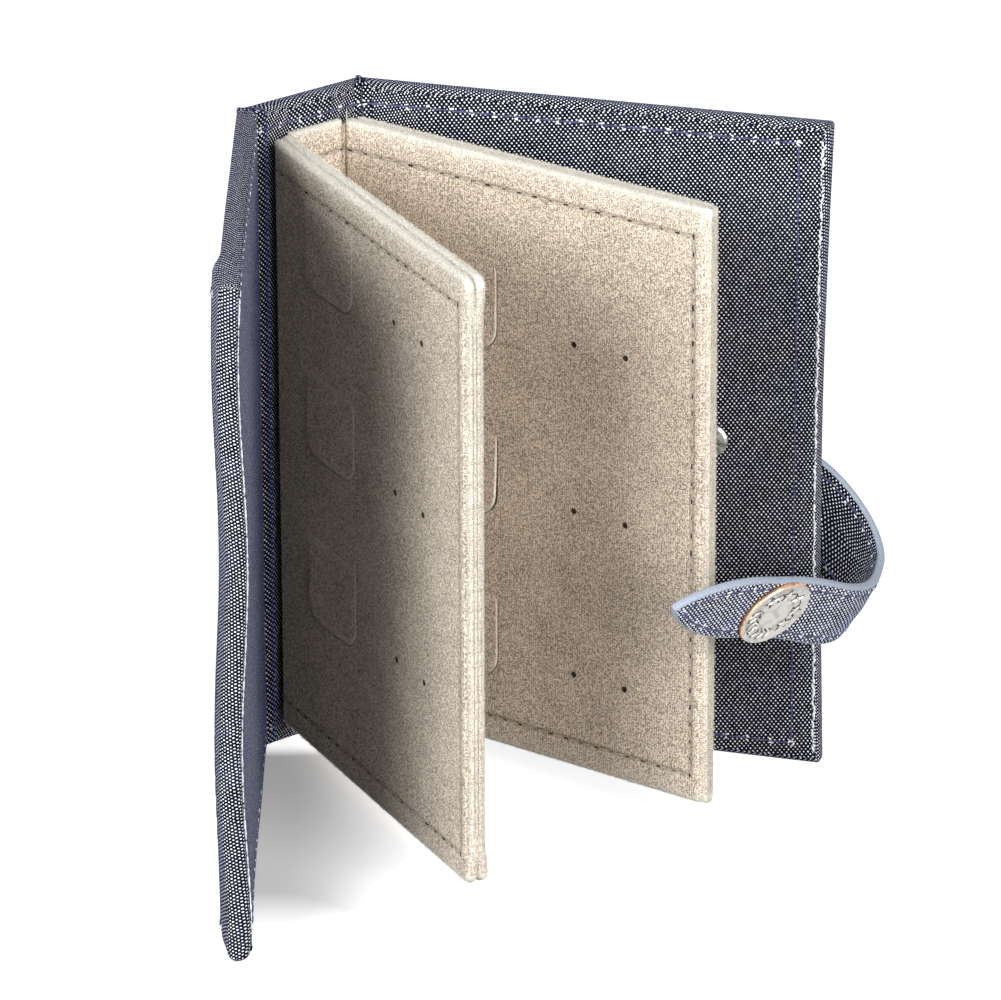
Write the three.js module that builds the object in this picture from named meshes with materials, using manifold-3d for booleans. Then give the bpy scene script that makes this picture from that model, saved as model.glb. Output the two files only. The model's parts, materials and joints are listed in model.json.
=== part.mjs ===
// Earring book: two denim covers and a spine on cloth creases, two velvet pages, and a strap with a snap.
// Millimetres, +Z up. The origin is the middle of the spine's foot, the spine runs along X and the
// pages stand towards -Y. The book is open, as it stands on a table.

import * as THREE from 'three';
import { mergeVertices } from 'three/addons/utils/BufferGeometryUtils.js';
import Module from 'manifold-3d';

// Covers and spine
const COVER_HEIGHT = 140;
const COVER_WIDTH = 100; // crease to fore-edge
const SPINE_WIDTH = 31; // crease to crease, outside
const PANEL_THICKNESS = 4;
const COVER_CORNER_RADIUS = 1.1;
const COVER_EDGE_RADIUS = 1;
const CLOTH_THICKNESS = 0.7;
const LINING_THICKNESS = 0.8;
const LINING_EDGE_INSET = 3.2; // width of the cloth turned in at the fore-edge
const LINING_END_INSET = 1.2; // width of the cloth turned in at head and foot
const CLOTH_EDGE_WALL = 1.2; // folded cloth between a board and the outside
const CREASE_WALL = 1; // cloth between a crease and a board

// Pages
const PAGE_HEIGHT = 128;
const PAGE_WIDTH = 90; // crease to fore-edge
const PAGE_LAYER_THICKNESS = 2.25; // one velvet panel; a page has two, back to back
const PAGE_CORNER_RADIUS = 2;
const PAGE_EDGE_RADIUS = 1;
const VELVET_THICKNESS = 0.65;
const VELVET_EDGE_WALL = 1;
const OUTER_LAYER_SETBACK = 1.2; // how far a page's outer panel stops short of the crease

// Tongues and stud holes
const ROW_COUNT = 3;
const ROW_PITCH = 36;
const LEFT_ROW_RISE = 36.2; // lowest stud holes above the page's foot
const RIGHT_ROW_RISE = 20.5;
const STUD_HOLE_DIAMETER = 1.5;
const STUD_COLUMN = 57.5; // from the crease
const STUD_COLUMN_PITCH = 12.7;
const TONGUE_WIDTH = 22;
const TONGUE_HEIGHT = 17.5;
const TONGUE_THICKNESS = 0.95;
const TONGUE_CORNER_RADIUS = 3.5;
const TONGUE_EDGE_RADIUS = 0.25;
const TONGUE_FROM_CREASE = 16.2;
const TONGUE_DROP = 6; // lower edge below its row of stud holes
const TONGUE_CLEARANCE = 0.35;

// Strap, rivet and snap
const STRAP_WIDTH = 16.2;
const STRAP_CLOTH_THICKNESS = 0.85; // one of the strap's two layers
const STRAP_TAIL = 9; // behind the rivet
const STRAP_FLAT = 7.5; // rivet to where the strap lifts off the cover
const STRAP_LIFT_ANGLE = 17; // so that it clears the cover's fore-edge
const STRAP_LIFT_RADIUS = 20;
const STRAP_RISE = 6;
const STRAP_CURL_RADIUS = 17;
const STRAP_CURL_ANGLE = 99.5;
const STRAP_FALL = 3.5; // straight between the curl's two arcs
const STRAP_LOOSE_RADIUS = 33.5; // the curl opens out towards the end
const STRAP_LOOSE_ANGLE = 39.5;
const STRAP_END_LENGTH = 44;
const STRAP_TIP_LENGTH = 21; // over which the strap narrows to its tip
const STRAP_TIP_SHARPNESS = 1.5; // 1 is an oval tip
const STRAP_TAIL_RADIUS = 4;
const SNAP_FROM_TIP = 28.8;
const SNAP_CAP_DIAMETER = 16.4;
const SNAP_CAP_HEIGHT = 1.6;
const SNAP_CAP_BEVEL = 0.4;
const SNAP_CAP_DISH = 0.35; // the ornament's field below the cap's middle
const SNAP_SHANK_DIAMETER = 3.2;
const SNAP_SHANK_LENGTH = 1.1; // past the strap's inside
const SNAP_STUD_DIAMETER = 5.4;
const SNAP_STUD_HEIGHT = 3.2; // from the strap's inside to the stud's tip
const SNAP_STUD_UNDERCUT = 0.35;
const SNAP_STUD_BASE_DIAMETER = 11;
const SNAP_STUD_BASE_HEIGHT = 0.5;
const SNAP_STUD_BULB = 0.8; // widest place of the stud above its tip
const SNAP_STUD_NECK = 1.5; // neck of the stud above its tip
const SNAP_SOCKET_RIM_DIAMETER = 11.6;
const SNAP_SOCKET_RIM_HEIGHT = 0.4;
const SNAP_SOCKET_BODY_DIAMETER = 8.4;
const SNAP_SOCKET_DEPTH = 2.6; // of its body in the front cover
const SNAP_SOCKET_WALL = 0.4;
const SNAP_PLATE_DIAMETER = 12.4; // hidden plate behind the socket
const SNAP_PLATE_THICKNESS = 0.4;
const SNAP_SOCKET_FROM_EDGE = 26; // socket to the front cover's fore-edge
const RIVET_FROM_EDGE = 24; // rivet to the back cover's fore-edge
const RIVET_HEAD_DIAMETER = 6.8;
const RIVET_HEAD_HEIGHT = 1.3;
const RIVET_CAP_DIAMETER = 8.4;
const RIVET_CAP_HEIGHT = 1.6;
const RIVET_CAP_EDGE = 0.5;
const RIVET_SHANK_DIAMETER = 3.8;

// Pose: how far each panel is folded up from lying flat, and how far the strap droops
const FRONT_FOLD = 50;
const BACK_FOLD = 55.5;
const LEFT_PAGE_FOLD = 76.5;
const RIGHT_PAGE_FOLD = 76;
const STRAP_DROOP = 34;

// Clearances
const FIT = 0.1; // between cloth and board
const SEAT = 0.25; // between pieces that rest on each other across a joint
const MITRE_GAP = 0.3; // at a crease when the book is shut
const CLOSED_GAP = 0.2; // between page and cover when the book is shut
const SHANK_CLEARANCE = 0.3;

// Facets
const BEVEL_STEPS = 3;
const ROUND_STEPS = 24;
const HOLE_STEPS = 8;
const CURL_STEP_DEGREES = 8;

// Sizes that follow from the ones above
const PAGE_THICKNESS = 2 * PAGE_LAYER_THICKNESS + FIT;
const PAGE_HINGE_SPAN = SPINE_WIDTH - 2 * (PANEL_THICKNESS + PAGE_THICKNESS + CLOSED_GAP);
const PAGE_HINGE_Y = -PANEL_THICKNESS / 2 - SEAT - PAGE_LAYER_THICKNESS;
const PAGE_FOOT = (COVER_HEIGHT - PAGE_HEIGHT) / 2;
const PAGE_HEAD = PAGE_FOOT + PAGE_HEIGHT;
const BOARD_THICKNESS = PANEL_THICKNESS - CLOTH_THICKNESS - LINING_THICKNESS - 2 * FIT;
const BOARD_FRONT = CLOTH_THICKNESS + FIT; // depth of a cover board below the outer face
const LINING_FRONT = PANEL_THICKNESS - LINING_THICKNESS; // depth of the lining below the outer face
const CREASE_POCKET = MITRE_GAP + PANEL_THICKNESS + CREASE_WALL;
const STRAP_THICKNESS = 2 * STRAP_CLOTH_THICKNESS + FIT;
const STRAP_MID = SEAT + STRAP_THICKNESS / 2; // strap's middle above the cover's outer face
const RIVET_U = COVER_WIDTH - RIVET_FROM_EDGE;
const SNAP_SOCKET_U = COVER_WIDTH - SNAP_SOCKET_FROM_EDGE;
const HARDWARE_Z = COVER_HEIGHT / 2;
const RIVET_HOLE_RADIUS = RIVET_SHANK_DIAMETER / 2 + SHANK_CLEARANCE;
const SNAP_HOLE_RADIUS = SNAP_SHANK_DIAMETER / 2 + SHANK_CLEARANCE;
const SOCKET_HOLE_RADIUS = SNAP_SOCKET_BODY_DIAMETER / 2 + FIT;
const PLATE_HOLE_RADIUS = SNAP_PLATE_DIAMETER / 2 + FIT;
const PLATE_FRONT = LINING_FRONT - FIT - SNAP_PLATE_THICKNESS; // depth of the plate below the outer face

const CUT = 1; // overshoot of a cutting solid past the face that it cuts
const rad = THREE.MathUtils.degToRad;

const wasm = await Module();
wasm.setup();

// Materials
function finish(color, roughness, metalness = 0) {
  return new THREE.MeshStandardMaterial({ color, roughness, metalness });
}

const denim = finish(0x23263a, 0.9);
const liningDenim = finish(0x1d2032, 0.9);
const velvet = finish(0xc9b79c, 0.95);
const strapDenim = finish(0x3c4564, 0.85);
const greyBoard = finish(0x8d8a84, 0.9);
const copper = finish(0xb09a8c, 0.4, 1);
const steel = finish(0xb8bac0, 0.35, 1);

// Solids: shapes are joined and cut on merged meshes
function toSolid(geometry) {
  const bare = geometry.clone();
  bare.deleteAttribute('normal');
  bare.deleteAttribute('uv');
  const merged = mergeVertices(bare, 1e-4);
  const mesh = new wasm.Mesh({
    numProp: 3,
    vertProperties: Float32Array.from(merged.attributes.position.array),
    triVerts: Uint32Array.from(merged.index.array),
  });
  return new wasm.Manifold(mesh);
}

function toGeometry(solid) {
  const mesh = solid.getMesh();
  const geometry = new THREE.BufferGeometry();
  geometry.setAttribute('position', new THREE.BufferAttribute(mesh.vertProperties, 3));
  geometry.setIndex(new THREE.BufferAttribute(mesh.triVerts, 1));
  return geometry;
}

function cut(geometry, ...tools) {
  return toGeometry(tools.reduce((left, tool) => left.subtract(toSolid(tool)), toSolid(geometry)));
}

// The mirror image in X, with its faces still pointing out
function mirrored(geometry) {
  const flat = geometry.index ? geometry.toNonIndexed() : geometry.clone();
  const position = flat.attributes.position;
  const corners = new Float32Array(position.count * 3);
  for (let i = 0; i < position.count; i += 3) {
    [i, i + 2, i + 1].forEach((from, k) => {
      corners.set([-position.getX(from), position.getY(from), position.getZ(from)], (i + k) * 3);
    });
  }
  const result = new THREE.BufferGeometry();
  result.setAttribute('position', new THREE.BufferAttribute(corners, 3));
  return mergeVertices(result, 1e-4);
}

function box(x0, x1, y0, y1, z0, z1) {
  const geometry = new THREE.BoxGeometry(x1 - x0, y1 - y0, z1 - z0);
  return geometry.translate((x0 + x1) / 2, (y0 + y1) / 2, (z0 + z1) / 2);
}

// A rectangle whose lower corners have one radius and whose upper corners have another
function roundedRectangle(x0, x1, z0, z1, lower, upper = lower) {
  const shape = new THREE.Shape();
  shape.moveTo(x0 + lower, z0);
  shape.lineTo(x1 - lower, z0);
  if (lower > 0) shape.absarc(x1 - lower, z0 + lower, lower, -Math.PI / 2, 0);
  shape.lineTo(x1, z1 - upper);
  if (upper > 0) shape.absarc(x1 - upper, z1 - upper, upper, 0, Math.PI / 2);
  shape.lineTo(x0 + upper, z1);
  if (upper > 0) shape.absarc(x0 + upper, z1 - upper, upper, Math.PI / 2, Math.PI);
  shape.lineTo(x0, z0 + lower);
  if (lower > 0) shape.absarc(x0 + lower, z0 + lower, lower, Math.PI, Math.PI * 1.5);
  return shape;
}

// A plate cut to an outline in X and Z, from yNear (less) to yFar, with rounded edges
function plate(shape, yNear, yFar, edge = 0) {
  const geometry = new THREE.ExtrudeGeometry(shape, {
    depth: yFar - yNear - 2 * edge,
    curveSegments: BEVEL_STEPS,
    bevelEnabled: edge > 0,
    bevelThickness: edge,
    bevelSize: edge,
    bevelOffset: -edge,
    bevelSegments: BEVEL_STEPS,
  });
  return geometry.rotateX(Math.PI / 2).translate(0, yFar - edge, 0);
}

// A prism with an outline in X and Y, from z0 up to z1
function prism(points, z0, z1) {
  const shape = new THREE.Shape(points.map(([x, y]) => new THREE.Vector2(x, y)));
  const geometry = new THREE.ExtrudeGeometry(shape, { depth: z1 - z0, bevelEnabled: false });
  return geometry.translate(0, 0, z0);
}

// A round hole or pin along Y
function roundBar(x, z, radius, y0, y1, steps = ROUND_STEPS) {
  const geometry = new THREE.CylinderGeometry(radius, radius, y1 - y0, steps);
  return geometry.translate(x, (y0 + y1) / 2, z);
}

function turned(profile, x = 0, z = 0) {
  const points = profile.map(([r, y]) => new THREE.Vector2(r, y));
  return new THREE.LatheGeometry(points, ROUND_STEPS).translate(x, 0, z);
}

function polar(radius, degrees) {
  return [radius * Math.cos(rad(degrees)), radius * Math.sin(rad(degrees))];
}

// Scene graph
const book = new THREE.Group();

function group(parent, x, y, z, turnZ = 0) {
  const made = new THREE.Group();
  made.position.set(x, y, z);
  made.rotation.z = rad(turnZ);
  parent.add(made);
  return made;
}

function piece(parent, name, geometry, material) {
  const mesh = new THREE.Mesh(geometry, material);
  mesh.name = name;
  parent.add(mesh);
}

// Cover panels: X runs from the crease to the fore-edge, Y = 0 is the outer face and Y < 0 is inside
function mitre(sign, x) {
  const reach = PANEL_THICKNESS + CUT;
  const points = [
    [x - sign * 2 * reach, CUT],
    [x - sign * CUT, CUT],
    [x + sign * reach, -reach],
    [x - sign * 2 * reach, -reach],
  ];
  return prism(sign > 0 ? points.reverse() : points, -CUT, COVER_HEIGHT + CUT);
}

function clothTray(x0, x1, boardSpan, liningSpan, mitres, hole) {
  const outline = roundedRectangle(x0, x1, 0, COVER_HEIGHT, COVER_CORNER_RADIUS);
  const slab = plate(outline, -PANEL_THICKNESS, 0, COVER_EDGE_RADIUS);
  const boardHole = box(
    ...boardSpan, -LINING_FRONT, -CLOTH_THICKNESS, CLOTH_EDGE_WALL, COVER_HEIGHT - CLOTH_EDGE_WALL,
  );
  const liningHole = box(
    ...liningSpan, -PANEL_THICKNESS - CUT, -LINING_FRONT + FIT,
    LINING_END_INSET, COVER_HEIGHT - LINING_END_INSET,
  );
  const tools = [boardHole, liningHole, ...mitres];
  if (hole) tools.push(roundBar(hole.x, HARDWARE_Z, hole.radius, -PANEL_THICKNESS - CUT, CUT));
  return cut(slab, ...tools);
}

function sheet(span, yNear, yFar, inset, hole) {
  const solid = box(span[0] + FIT, span[1] - FIT, yNear, yFar, inset + FIT, COVER_HEIGHT - inset - FIT);
  return hole ? cut(solid, roundBar(hole.x, HARDWARE_Z, hole.radius, yNear - CUT, yFar + CUT)) : solid;
}

// A hole goes right through a panel, or it is blind: the lining then covers it and the plate behind it
function panelPieces(x0, x1, boardSpan, liningSpan, mitres, hole) {
  let board = sheet(boardSpan, -BOARD_FRONT - BOARD_THICKNESS, -BOARD_FRONT, CLOTH_EDGE_WALL, hole);
  if (hole && hole.blind) {
    board = cut(board, roundBar(hole.x, HARDWARE_Z, PLATE_HOLE_RADIUS, -PANEL_THICKNESS, FIT - PLATE_FRONT));
  }
  const liningHole = hole && hole.blind ? null : hole;
  return {
    cloth: clothTray(x0, x1, boardSpan, liningSpan, mitres, hole),
    board,
    lining: sheet(liningSpan, -PANEL_THICKNESS, -LINING_FRONT, LINING_END_INSET, liningHole),
  };
}

function coverPieces(hole) {
  const boardSpan = [CREASE_POCKET, COVER_WIDTH - CLOTH_EDGE_WALL];
  const liningSpan = [CREASE_POCKET, COVER_WIDTH - LINING_EDGE_INSET];
  return panelPieces(-PANEL_THICKNESS, COVER_WIDTH, boardSpan, liningSpan, [mitre(1, MITRE_GAP)], hole);
}

// Spine: its outer face looks towards +Y
const spine = group(book, 0, PANEL_THICKNESS / 2, 0);
{
  const reach = SPINE_WIDTH / 2;
  const span = [CREASE_POCKET - reach, reach - CREASE_POCKET];
  const mitres = [mitre(1, MITRE_GAP - reach), mitre(-1, reach - MITRE_GAP)];
  const extra = PANEL_THICKNESS;
  const parts = panelPieces(-reach - extra, reach + extra, span, span, mitres, null);
  piece(spine, 'spine_cloth', parts.cloth, denim);
  piece(spine, 'spine_board', parts.board, greyBoard);
  piece(spine, 'spine_lining', parts.lining, liningDenim);
}

// Front cover
const frontCover = group(book, -SPINE_WIDTH / 2, PANEL_THICKNESS / 2, 0, FRONT_FOLD);
{
  const parts = coverPieces({ x: SNAP_SOCKET_U, radius: SOCKET_HOLE_RADIUS, blind: true });
  piece(frontCover, 'front_cover_cloth', mirrored(parts.cloth), denim);
  piece(frontCover, 'front_cover_board', mirrored(parts.board), greyBoard);
  piece(frontCover, 'front_cover_lining', mirrored(parts.lining), liningDenim);
}

// Back cover
const backCover = group(book, SPINE_WIDTH / 2, PANEL_THICKNESS / 2, 0, -BACK_FOLD);
{
  const parts = coverPieces({ x: RIVET_U, radius: RIVET_HOLE_RADIUS });
  piece(backCover, 'back_cover_cloth', parts.cloth, denim);
  piece(backCover, 'back_cover_board', parts.board, greyBoard);
  piece(backCover, 'back_cover_lining', parts.lining, liningDenim);
}

// Cloth folded into a cover crease: a wedge between the two mitres, hollowed on the inside
const FOLD_APEX = 0.8;
const FOLD_SHORT = 0.4; // the fold stops short of the panels' inner corners
const FOLD_HOLLOW = 0.9;
const FOLD_REACH = PANEL_THICKNESS * Math.SQRT2 - FOLD_SHORT;
const FOLD_VALLEY = FOLD_REACH - FOLD_HOLLOW;
const FOLD_END_INSET = 0.6;

function creaseWedge(fold) {
  const spineSide = -135;
  const coverSide = -45 - fold;
  const points = [
    polar(FOLD_APEX, spineSide),
    polar(FOLD_REACH, spineSide),
    polar(FOLD_VALLEY, (spineSide + coverSide) / 2),
    polar(FOLD_REACH, coverSide),
    polar(FOLD_APEX, coverSide),
  ];
  return prism(points, FOLD_END_INSET, COVER_HEIGHT - FOLD_END_INSET);
}

const frontCrease = group(book, -SPINE_WIDTH / 2, PANEL_THICKNESS / 2, 0);
piece(frontCrease, 'front_crease_cloth', mirrored(creaseWedge(FRONT_FOLD)), denim);
const backCrease = group(book, SPINE_WIDTH / 2, PANEL_THICKNESS / 2, 0);
piece(backCrease, 'back_crease_cloth', creaseWedge(BACK_FOLD), denim);

// Velvet panels: a tray of velvet over one face and the edges of a board, open at its back.
// Y = face is the velvet face and inward is the way from it to the open back (1 or -1).
function velvetTray(x0, x1, face, inward, tools) {
  const back = face + inward * PAGE_LAYER_THICKNESS;
  const outline = roundedRectangle(x0, x1, PAGE_FOOT, PAGE_HEAD, PAGE_CORNER_RADIUS);
  const slab = plate(outline, Math.min(face, back), Math.max(face, back), PAGE_EDGE_RADIUS);
  const ends = [face + inward * VELVET_THICKNESS, back + inward * CUT];
  const pocket = box(
    x0 + VELVET_EDGE_WALL, x1 - VELVET_EDGE_WALL, Math.min(...ends), Math.max(...ends),
    PAGE_FOOT + VELVET_EDGE_WALL, PAGE_HEAD - VELVET_EDGE_WALL,
  );
  return cut(slab, pocket, ...tools);
}

function velvetBoard(x0, x1, face, inward, tools) {
  const ends = [face + inward * (VELVET_THICKNESS + FIT), face + inward * (PAGE_LAYER_THICKNESS - FIT)];
  const margin = VELVET_EDGE_WALL + FIT;
  const solid = box(
    x0 + margin, x1 - margin, Math.min(...ends), Math.max(...ends), PAGE_FOOT + margin, PAGE_HEAD - margin,
  );
  return tools.length ? cut(solid, ...tools) : solid;
}

// Velvet strip inside the spine
{
  const strip = group(book, 0, PAGE_HINGE_Y, 0);
  const reach = PAGE_HINGE_SPAN / 2 - SEAT;
  piece(strip, 'page_spine_velvet', velvetTray(-reach, reach, 0, 1, []), velvet);
  piece(strip, 'page_spine_board', velvetBoard(-reach, reach, 0, 1, []), greyBoard);
}

// Pages: X runs from the crease to the fore-edge, Y = 0 faces the other page and Y > 0 is towards the cover
const TONGUE_REAR = VELVET_THICKNESS + FIT / 2; // depth of a tongue's back below the velvet face
const PAGE_ROOT = SEAT + FIT;

function tongueOutline(row, grow) {
  const low = row - TONGUE_DROP;
  return roundedRectangle(
    TONGUE_FROM_CREASE - grow, TONGUE_FROM_CREASE + TONGUE_WIDTH + grow,
    low - grow, low + TONGUE_HEIGHT + grow, TONGUE_CORNER_RADIUS + grow, 0,
  );
}

function pagePieces(parent, side, rowRise, hand) {
  const rows = Array.from({ length: ROW_COUNT }, (_, i) => PAGE_FOOT + rowRise + i * ROW_PITCH);
  const columns = [STUD_COLUMN, STUD_COLUMN + STUD_COLUMN_PITCH];
  const studHoles = rows.flatMap((z) => columns.map(
    (x) => roundBar(x, z, STUD_HOLE_DIAMETER / 2, -CUT, PAGE_THICKNESS + CUT, HOLE_STEPS),
  ));
  const layers = [
    { layer: 'inner', root: PAGE_ROOT, face: 0, inward: 1 },
    { layer: 'outer', root: OUTER_LAYER_SETBACK, face: PAGE_THICKNESS, inward: -1 },
  ];
  for (const { layer, root, face, inward } of layers) {
    const rear = face + inward * (VELVET_THICKNESS + FIT / 2);
    const front = face - inward * CUT;
    const windows = rows.map((row) => plate(
      tongueOutline(row, TONGUE_CLEARANCE), Math.min(front, rear), Math.max(front, rear),
    ));
    const name = `${side}_${layer}`;
    const tray = velvetTray(root, PAGE_WIDTH, face, inward, [...studHoles, ...windows]);
    piece(parent, `${name}_velvet`, hand(tray), velvet);
    piece(parent, `${name}_board`, hand(velvetBoard(root, PAGE_WIDTH, face, inward, studHoles)), greyBoard);
    rows.forEach((row, i) => {
      const back = face + inward * TONGUE_REAR;
      const top = back - inward * TONGUE_THICKNESS;
      const tongue = plate(
        tongueOutline(row, 0), Math.min(back, top), Math.max(back, top), TONGUE_EDGE_RADIUS,
      );
      piece(parent, `${name}_tongue_${i + 1}`, hand(tongue), velvet);
    });
  }
}

const leftPage = group(book, -PAGE_HINGE_SPAN / 2, PAGE_HINGE_Y, 0, LEFT_PAGE_FOLD);
pagePieces(leftPage, 'left', LEFT_ROW_RISE, mirrored);
const rightPage = group(book, PAGE_HINGE_SPAN / 2, PAGE_HINGE_Y, 0, -RIGHT_PAGE_FOLD);
pagePieces(rightPage, 'right', RIGHT_ROW_RISE, (geometry) => geometry);

// Velvet folded into a page crease: a sector round the crease line
const PAGE_FOLD_STEPS = 6;
const PAGE_FOLD_RADIUS = PAGE_LAYER_THICKNESS - FIT;
const PAGE_FOLD_CORE = 0.3;

function pageFold(fold) {
  const points = [polar(PAGE_FOLD_CORE, 90 - fold / 2)];
  for (let i = 0; i <= PAGE_FOLD_STEPS; i += 1) {
    points.push(polar(PAGE_FOLD_RADIUS, 90 - fold + (fold * i) / PAGE_FOLD_STEPS));
  }
  return prism(points, PAGE_FOOT + PAGE_EDGE_RADIUS, PAGE_HEAD - PAGE_EDGE_RADIUS);
}

const leftFold = group(book, -PAGE_HINGE_SPAN / 2, PAGE_HINGE_Y, 0);
piece(leftFold, 'left_crease_velvet', mirrored(pageFold(LEFT_PAGE_FOLD)), velvet);
const rightFold = group(book, PAGE_HINGE_SPAN / 2, PAGE_HINGE_Y, 0);
piece(rightFold, 'right_crease_velvet', pageFold(RIGHT_PAGE_FOLD), velvet);

// Snap socket let into the front cover from outside, on a plate hidden between its board and its lining
{
  const bore = SNAP_STUD_DIAMETER / 2 + SEAT;
  const body = SNAP_SOCKET_BODY_DIAMETER / 2;
  const rim = SNAP_SOCKET_RIM_DIAMETER / 2;
  const seat = FIT / 2;
  const top = seat + SNAP_SOCKET_RIM_HEIGHT;
  const floor = SNAP_SOCKET_WALL - SNAP_SOCKET_DEPTH;
  const socket = [
    [0, -SNAP_SOCKET_DEPTH], [body, -SNAP_SOCKET_DEPTH], [body, seat], [rim, seat],
    [rim - SNAP_SOCKET_WALL / 2, top], [bore + SNAP_SOCKET_WALL, top], [bore, seat],
    [bore, floor], [0, floor],
  ];
  piece(frontCover, 'snap_socket', turned(socket, -SNAP_SOCKET_U, HARDWARE_Z), steel);
  const plateRim = SNAP_PLATE_DIAMETER / 2;
  const back = -PLATE_FRONT - SNAP_PLATE_THICKNESS;
  const backing = [[0, back], [plateRim, back], [plateRim, -PLATE_FRONT], [0, -PLATE_FRONT]];
  piece(frontCover, 'snap_socket_plate', turned(backing, -SNAP_SOCKET_U, HARDWARE_Z), steel);
}

// Strap rivet: a domed post from inside the back cover, capped over the strap outside
{
  const seat = -PANEL_THICKNESS - SEAT;
  const head = RIVET_HEAD_DIAMETER / 2;
  const capSeat = STRAP_MID + STRAP_THICKNESS / 2 + SEAT;
  const bore = capSeat + RIVET_CAP_HEIGHT / 2;
  const boreRadius = RIVET_SHANK_DIAMETER / 2 + FIT;
  const post = [
    [0, seat - RIVET_HEAD_HEIGHT], [head * 0.5, seat - RIVET_HEAD_HEIGHT * 0.9],
    [head * 0.85, seat - RIVET_HEAD_HEIGHT * 0.6], [head, seat - RIVET_HEAD_HEIGHT * 0.25], [head, seat],
    [RIVET_SHANK_DIAMETER / 2, seat], [RIVET_SHANK_DIAMETER / 2, bore - FIT], [0, bore - FIT],
  ];
  piece(backCover, 'strap_rivet_post', turned(post, RIVET_U, HARDWARE_Z), steel);
  const cap = RIVET_CAP_DIAMETER / 2;
  const capTop = capSeat + RIVET_CAP_HEIGHT;
  const dome = [
    [0, bore], [boreRadius, bore], [boreRadius, capSeat], [cap, capSeat],
    [cap, capSeat + RIVET_CAP_EDGE], [cap * 0.8, capSeat + RIVET_CAP_HEIGHT * 0.84],
    [cap * 0.45, capSeat + RIVET_CAP_HEIGHT * 0.97], [0, capTop],
  ];
  piece(backCover, 'strap_rivet_cap', turned(dome, RIVET_U, HARDWARE_Z), steel);
}

// Strap: X runs along it from the rivet, Y > 0 is its outside and Z is its width
const strap = group(backCover, RIVET_U, 0, HARDWARE_Z);
strap.rotation.y = rad(STRAP_DROOP);
const STRETCH_GAP = FIT; // between the strap's root, curl and end
const strapLayers = [
  { layer: 'cloth', from: FIT / 2, to: STRAP_THICKNESS / 2, material: strapDenim },
  { layer: 'lining', from: -STRAP_THICKNESS / 2, to: -FIT / 2, material: strapDenim },
];

function strapRoot(from, to) {
  const half = STRAP_WIDTH / 2;
  const shape = new THREE.Shape();
  shape.moveTo(STRAP_FLAT - STRETCH_GAP, -half);
  shape.lineTo(STRAP_FLAT - STRETCH_GAP, half);
  const round = STRAP_TAIL_RADIUS - STRAP_TAIL;
  shape.lineTo(round, half);
  shape.absarc(round, half - STRAP_TAIL_RADIUS, STRAP_TAIL_RADIUS, Math.PI / 2, Math.PI);
  shape.lineTo(-STRAP_TAIL, STRAP_TAIL_RADIUS - half);
  shape.absarc(round, STRAP_TAIL_RADIUS - half, STRAP_TAIL_RADIUS, Math.PI, Math.PI * 1.5);
  const solid = plate(shape, STRAP_MID + from, STRAP_MID + to);
  return cut(solid, roundBar(0, 0, RIVET_HOLE_RADIUS, 0, STRAP_MID + STRAP_THICKNESS));
}

// The curl: the strap lifts off the cover, then turns round its fore-edge towards the inside of the book.
// A bend is a radius and the angle that it turns through, positive inwards; a straight is a length.
const strapRun = [
  { radius: STRAP_LIFT_RADIUS, turn: -STRAP_LIFT_ANGLE },
  { straight: STRAP_RISE },
  { radius: STRAP_CURL_RADIUS, turn: STRAP_CURL_ANGLE },
  { straight: STRAP_FALL },
  { radius: STRAP_LOOSE_RADIUS, turn: STRAP_LOOSE_ANGLE },
];

function strapPath() {
  const stations = [{ x: STRAP_FLAT, y: STRAP_MID, heading: 0 }];
  for (const { straight, radius, turn } of strapRun) {
    const { x, y, heading } = stations[stations.length - 1];
    if (straight) {
      const along = rad(heading);
      stations.push({ x: x + straight * Math.cos(along), y: y - straight * Math.sin(along), heading });
    } else {
      const steps = Math.ceil(Math.abs(turn) / CURL_STEP_DEGREES);
      const reach = radius * Math.sign(turn);
      const centre = { x: x - reach * Math.sin(rad(heading)), y: y - reach * Math.cos(rad(heading)) };
      for (let i = 1; i <= steps; i += 1) {
        const now = heading + (turn * i) / steps;
        stations.push({
          x: centre.x + reach * Math.sin(rad(now)), y: centre.y + reach * Math.cos(rad(now)), heading: now,
        });
      }
    }
  }
  return stations;
}

const path = strapPath();
const pathEnd = path[path.length - 1];

function strapCurl(from, to) {
  const offset = (station, d) => [
    station.x + d * Math.sin(rad(station.heading)), station.y + d * Math.cos(rad(station.heading)),
  ];
  const points = [...path.map((s) => offset(s, to)), ...[...path].reverse().map((s) => offset(s, from))];
  return prism(points.reverse(), -STRAP_WIDTH / 2, STRAP_WIDTH / 2);
}

function strapEnd(from, to) {
  const half = STRAP_WIDTH / 2;
  const shape = new THREE.Shape();
  shape.moveTo(STRETCH_GAP, half);
  shape.lineTo(STRETCH_GAP, -half);
  const taper = STRAP_END_LENGTH - STRAP_TIP_LENGTH;
  shape.lineTo(taper, -half);
  for (let i = 1; i <= ROUND_STEPS / 2; i += 1) {
    const turn = -Math.PI / 2 + (Math.PI * i) / (ROUND_STEPS / 2);
    const side = Math.sin(turn);
    const width = half * Math.sign(side) * Math.abs(side) ** STRAP_TIP_SHARPNESS;
    shape.lineTo(taper + STRAP_TIP_LENGTH * Math.cos(turn), width);
  }
  const snapX = STRAP_END_LENGTH - SNAP_FROM_TIP;
  const hole = roundBar(snapX, 0, SNAP_HOLE_RADIUS, -STRAP_THICKNESS, STRAP_THICKNESS);
  return cut(plate(shape, from, to), hole);
}

const strapTail = group(strap, pathEnd.x, pathEnd.y, 0, -pathEnd.heading);
for (const { layer, from, to, material } of strapLayers) {
  piece(strap, `strap_root_${layer}`, strapRoot(from, to), material);
  piece(strap, `strap_curl_${layer}`, strapCurl(from, to), material);
  piece(strapTail, `strap_end_${layer}`, strapEnd(from, to), material);
}

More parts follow.
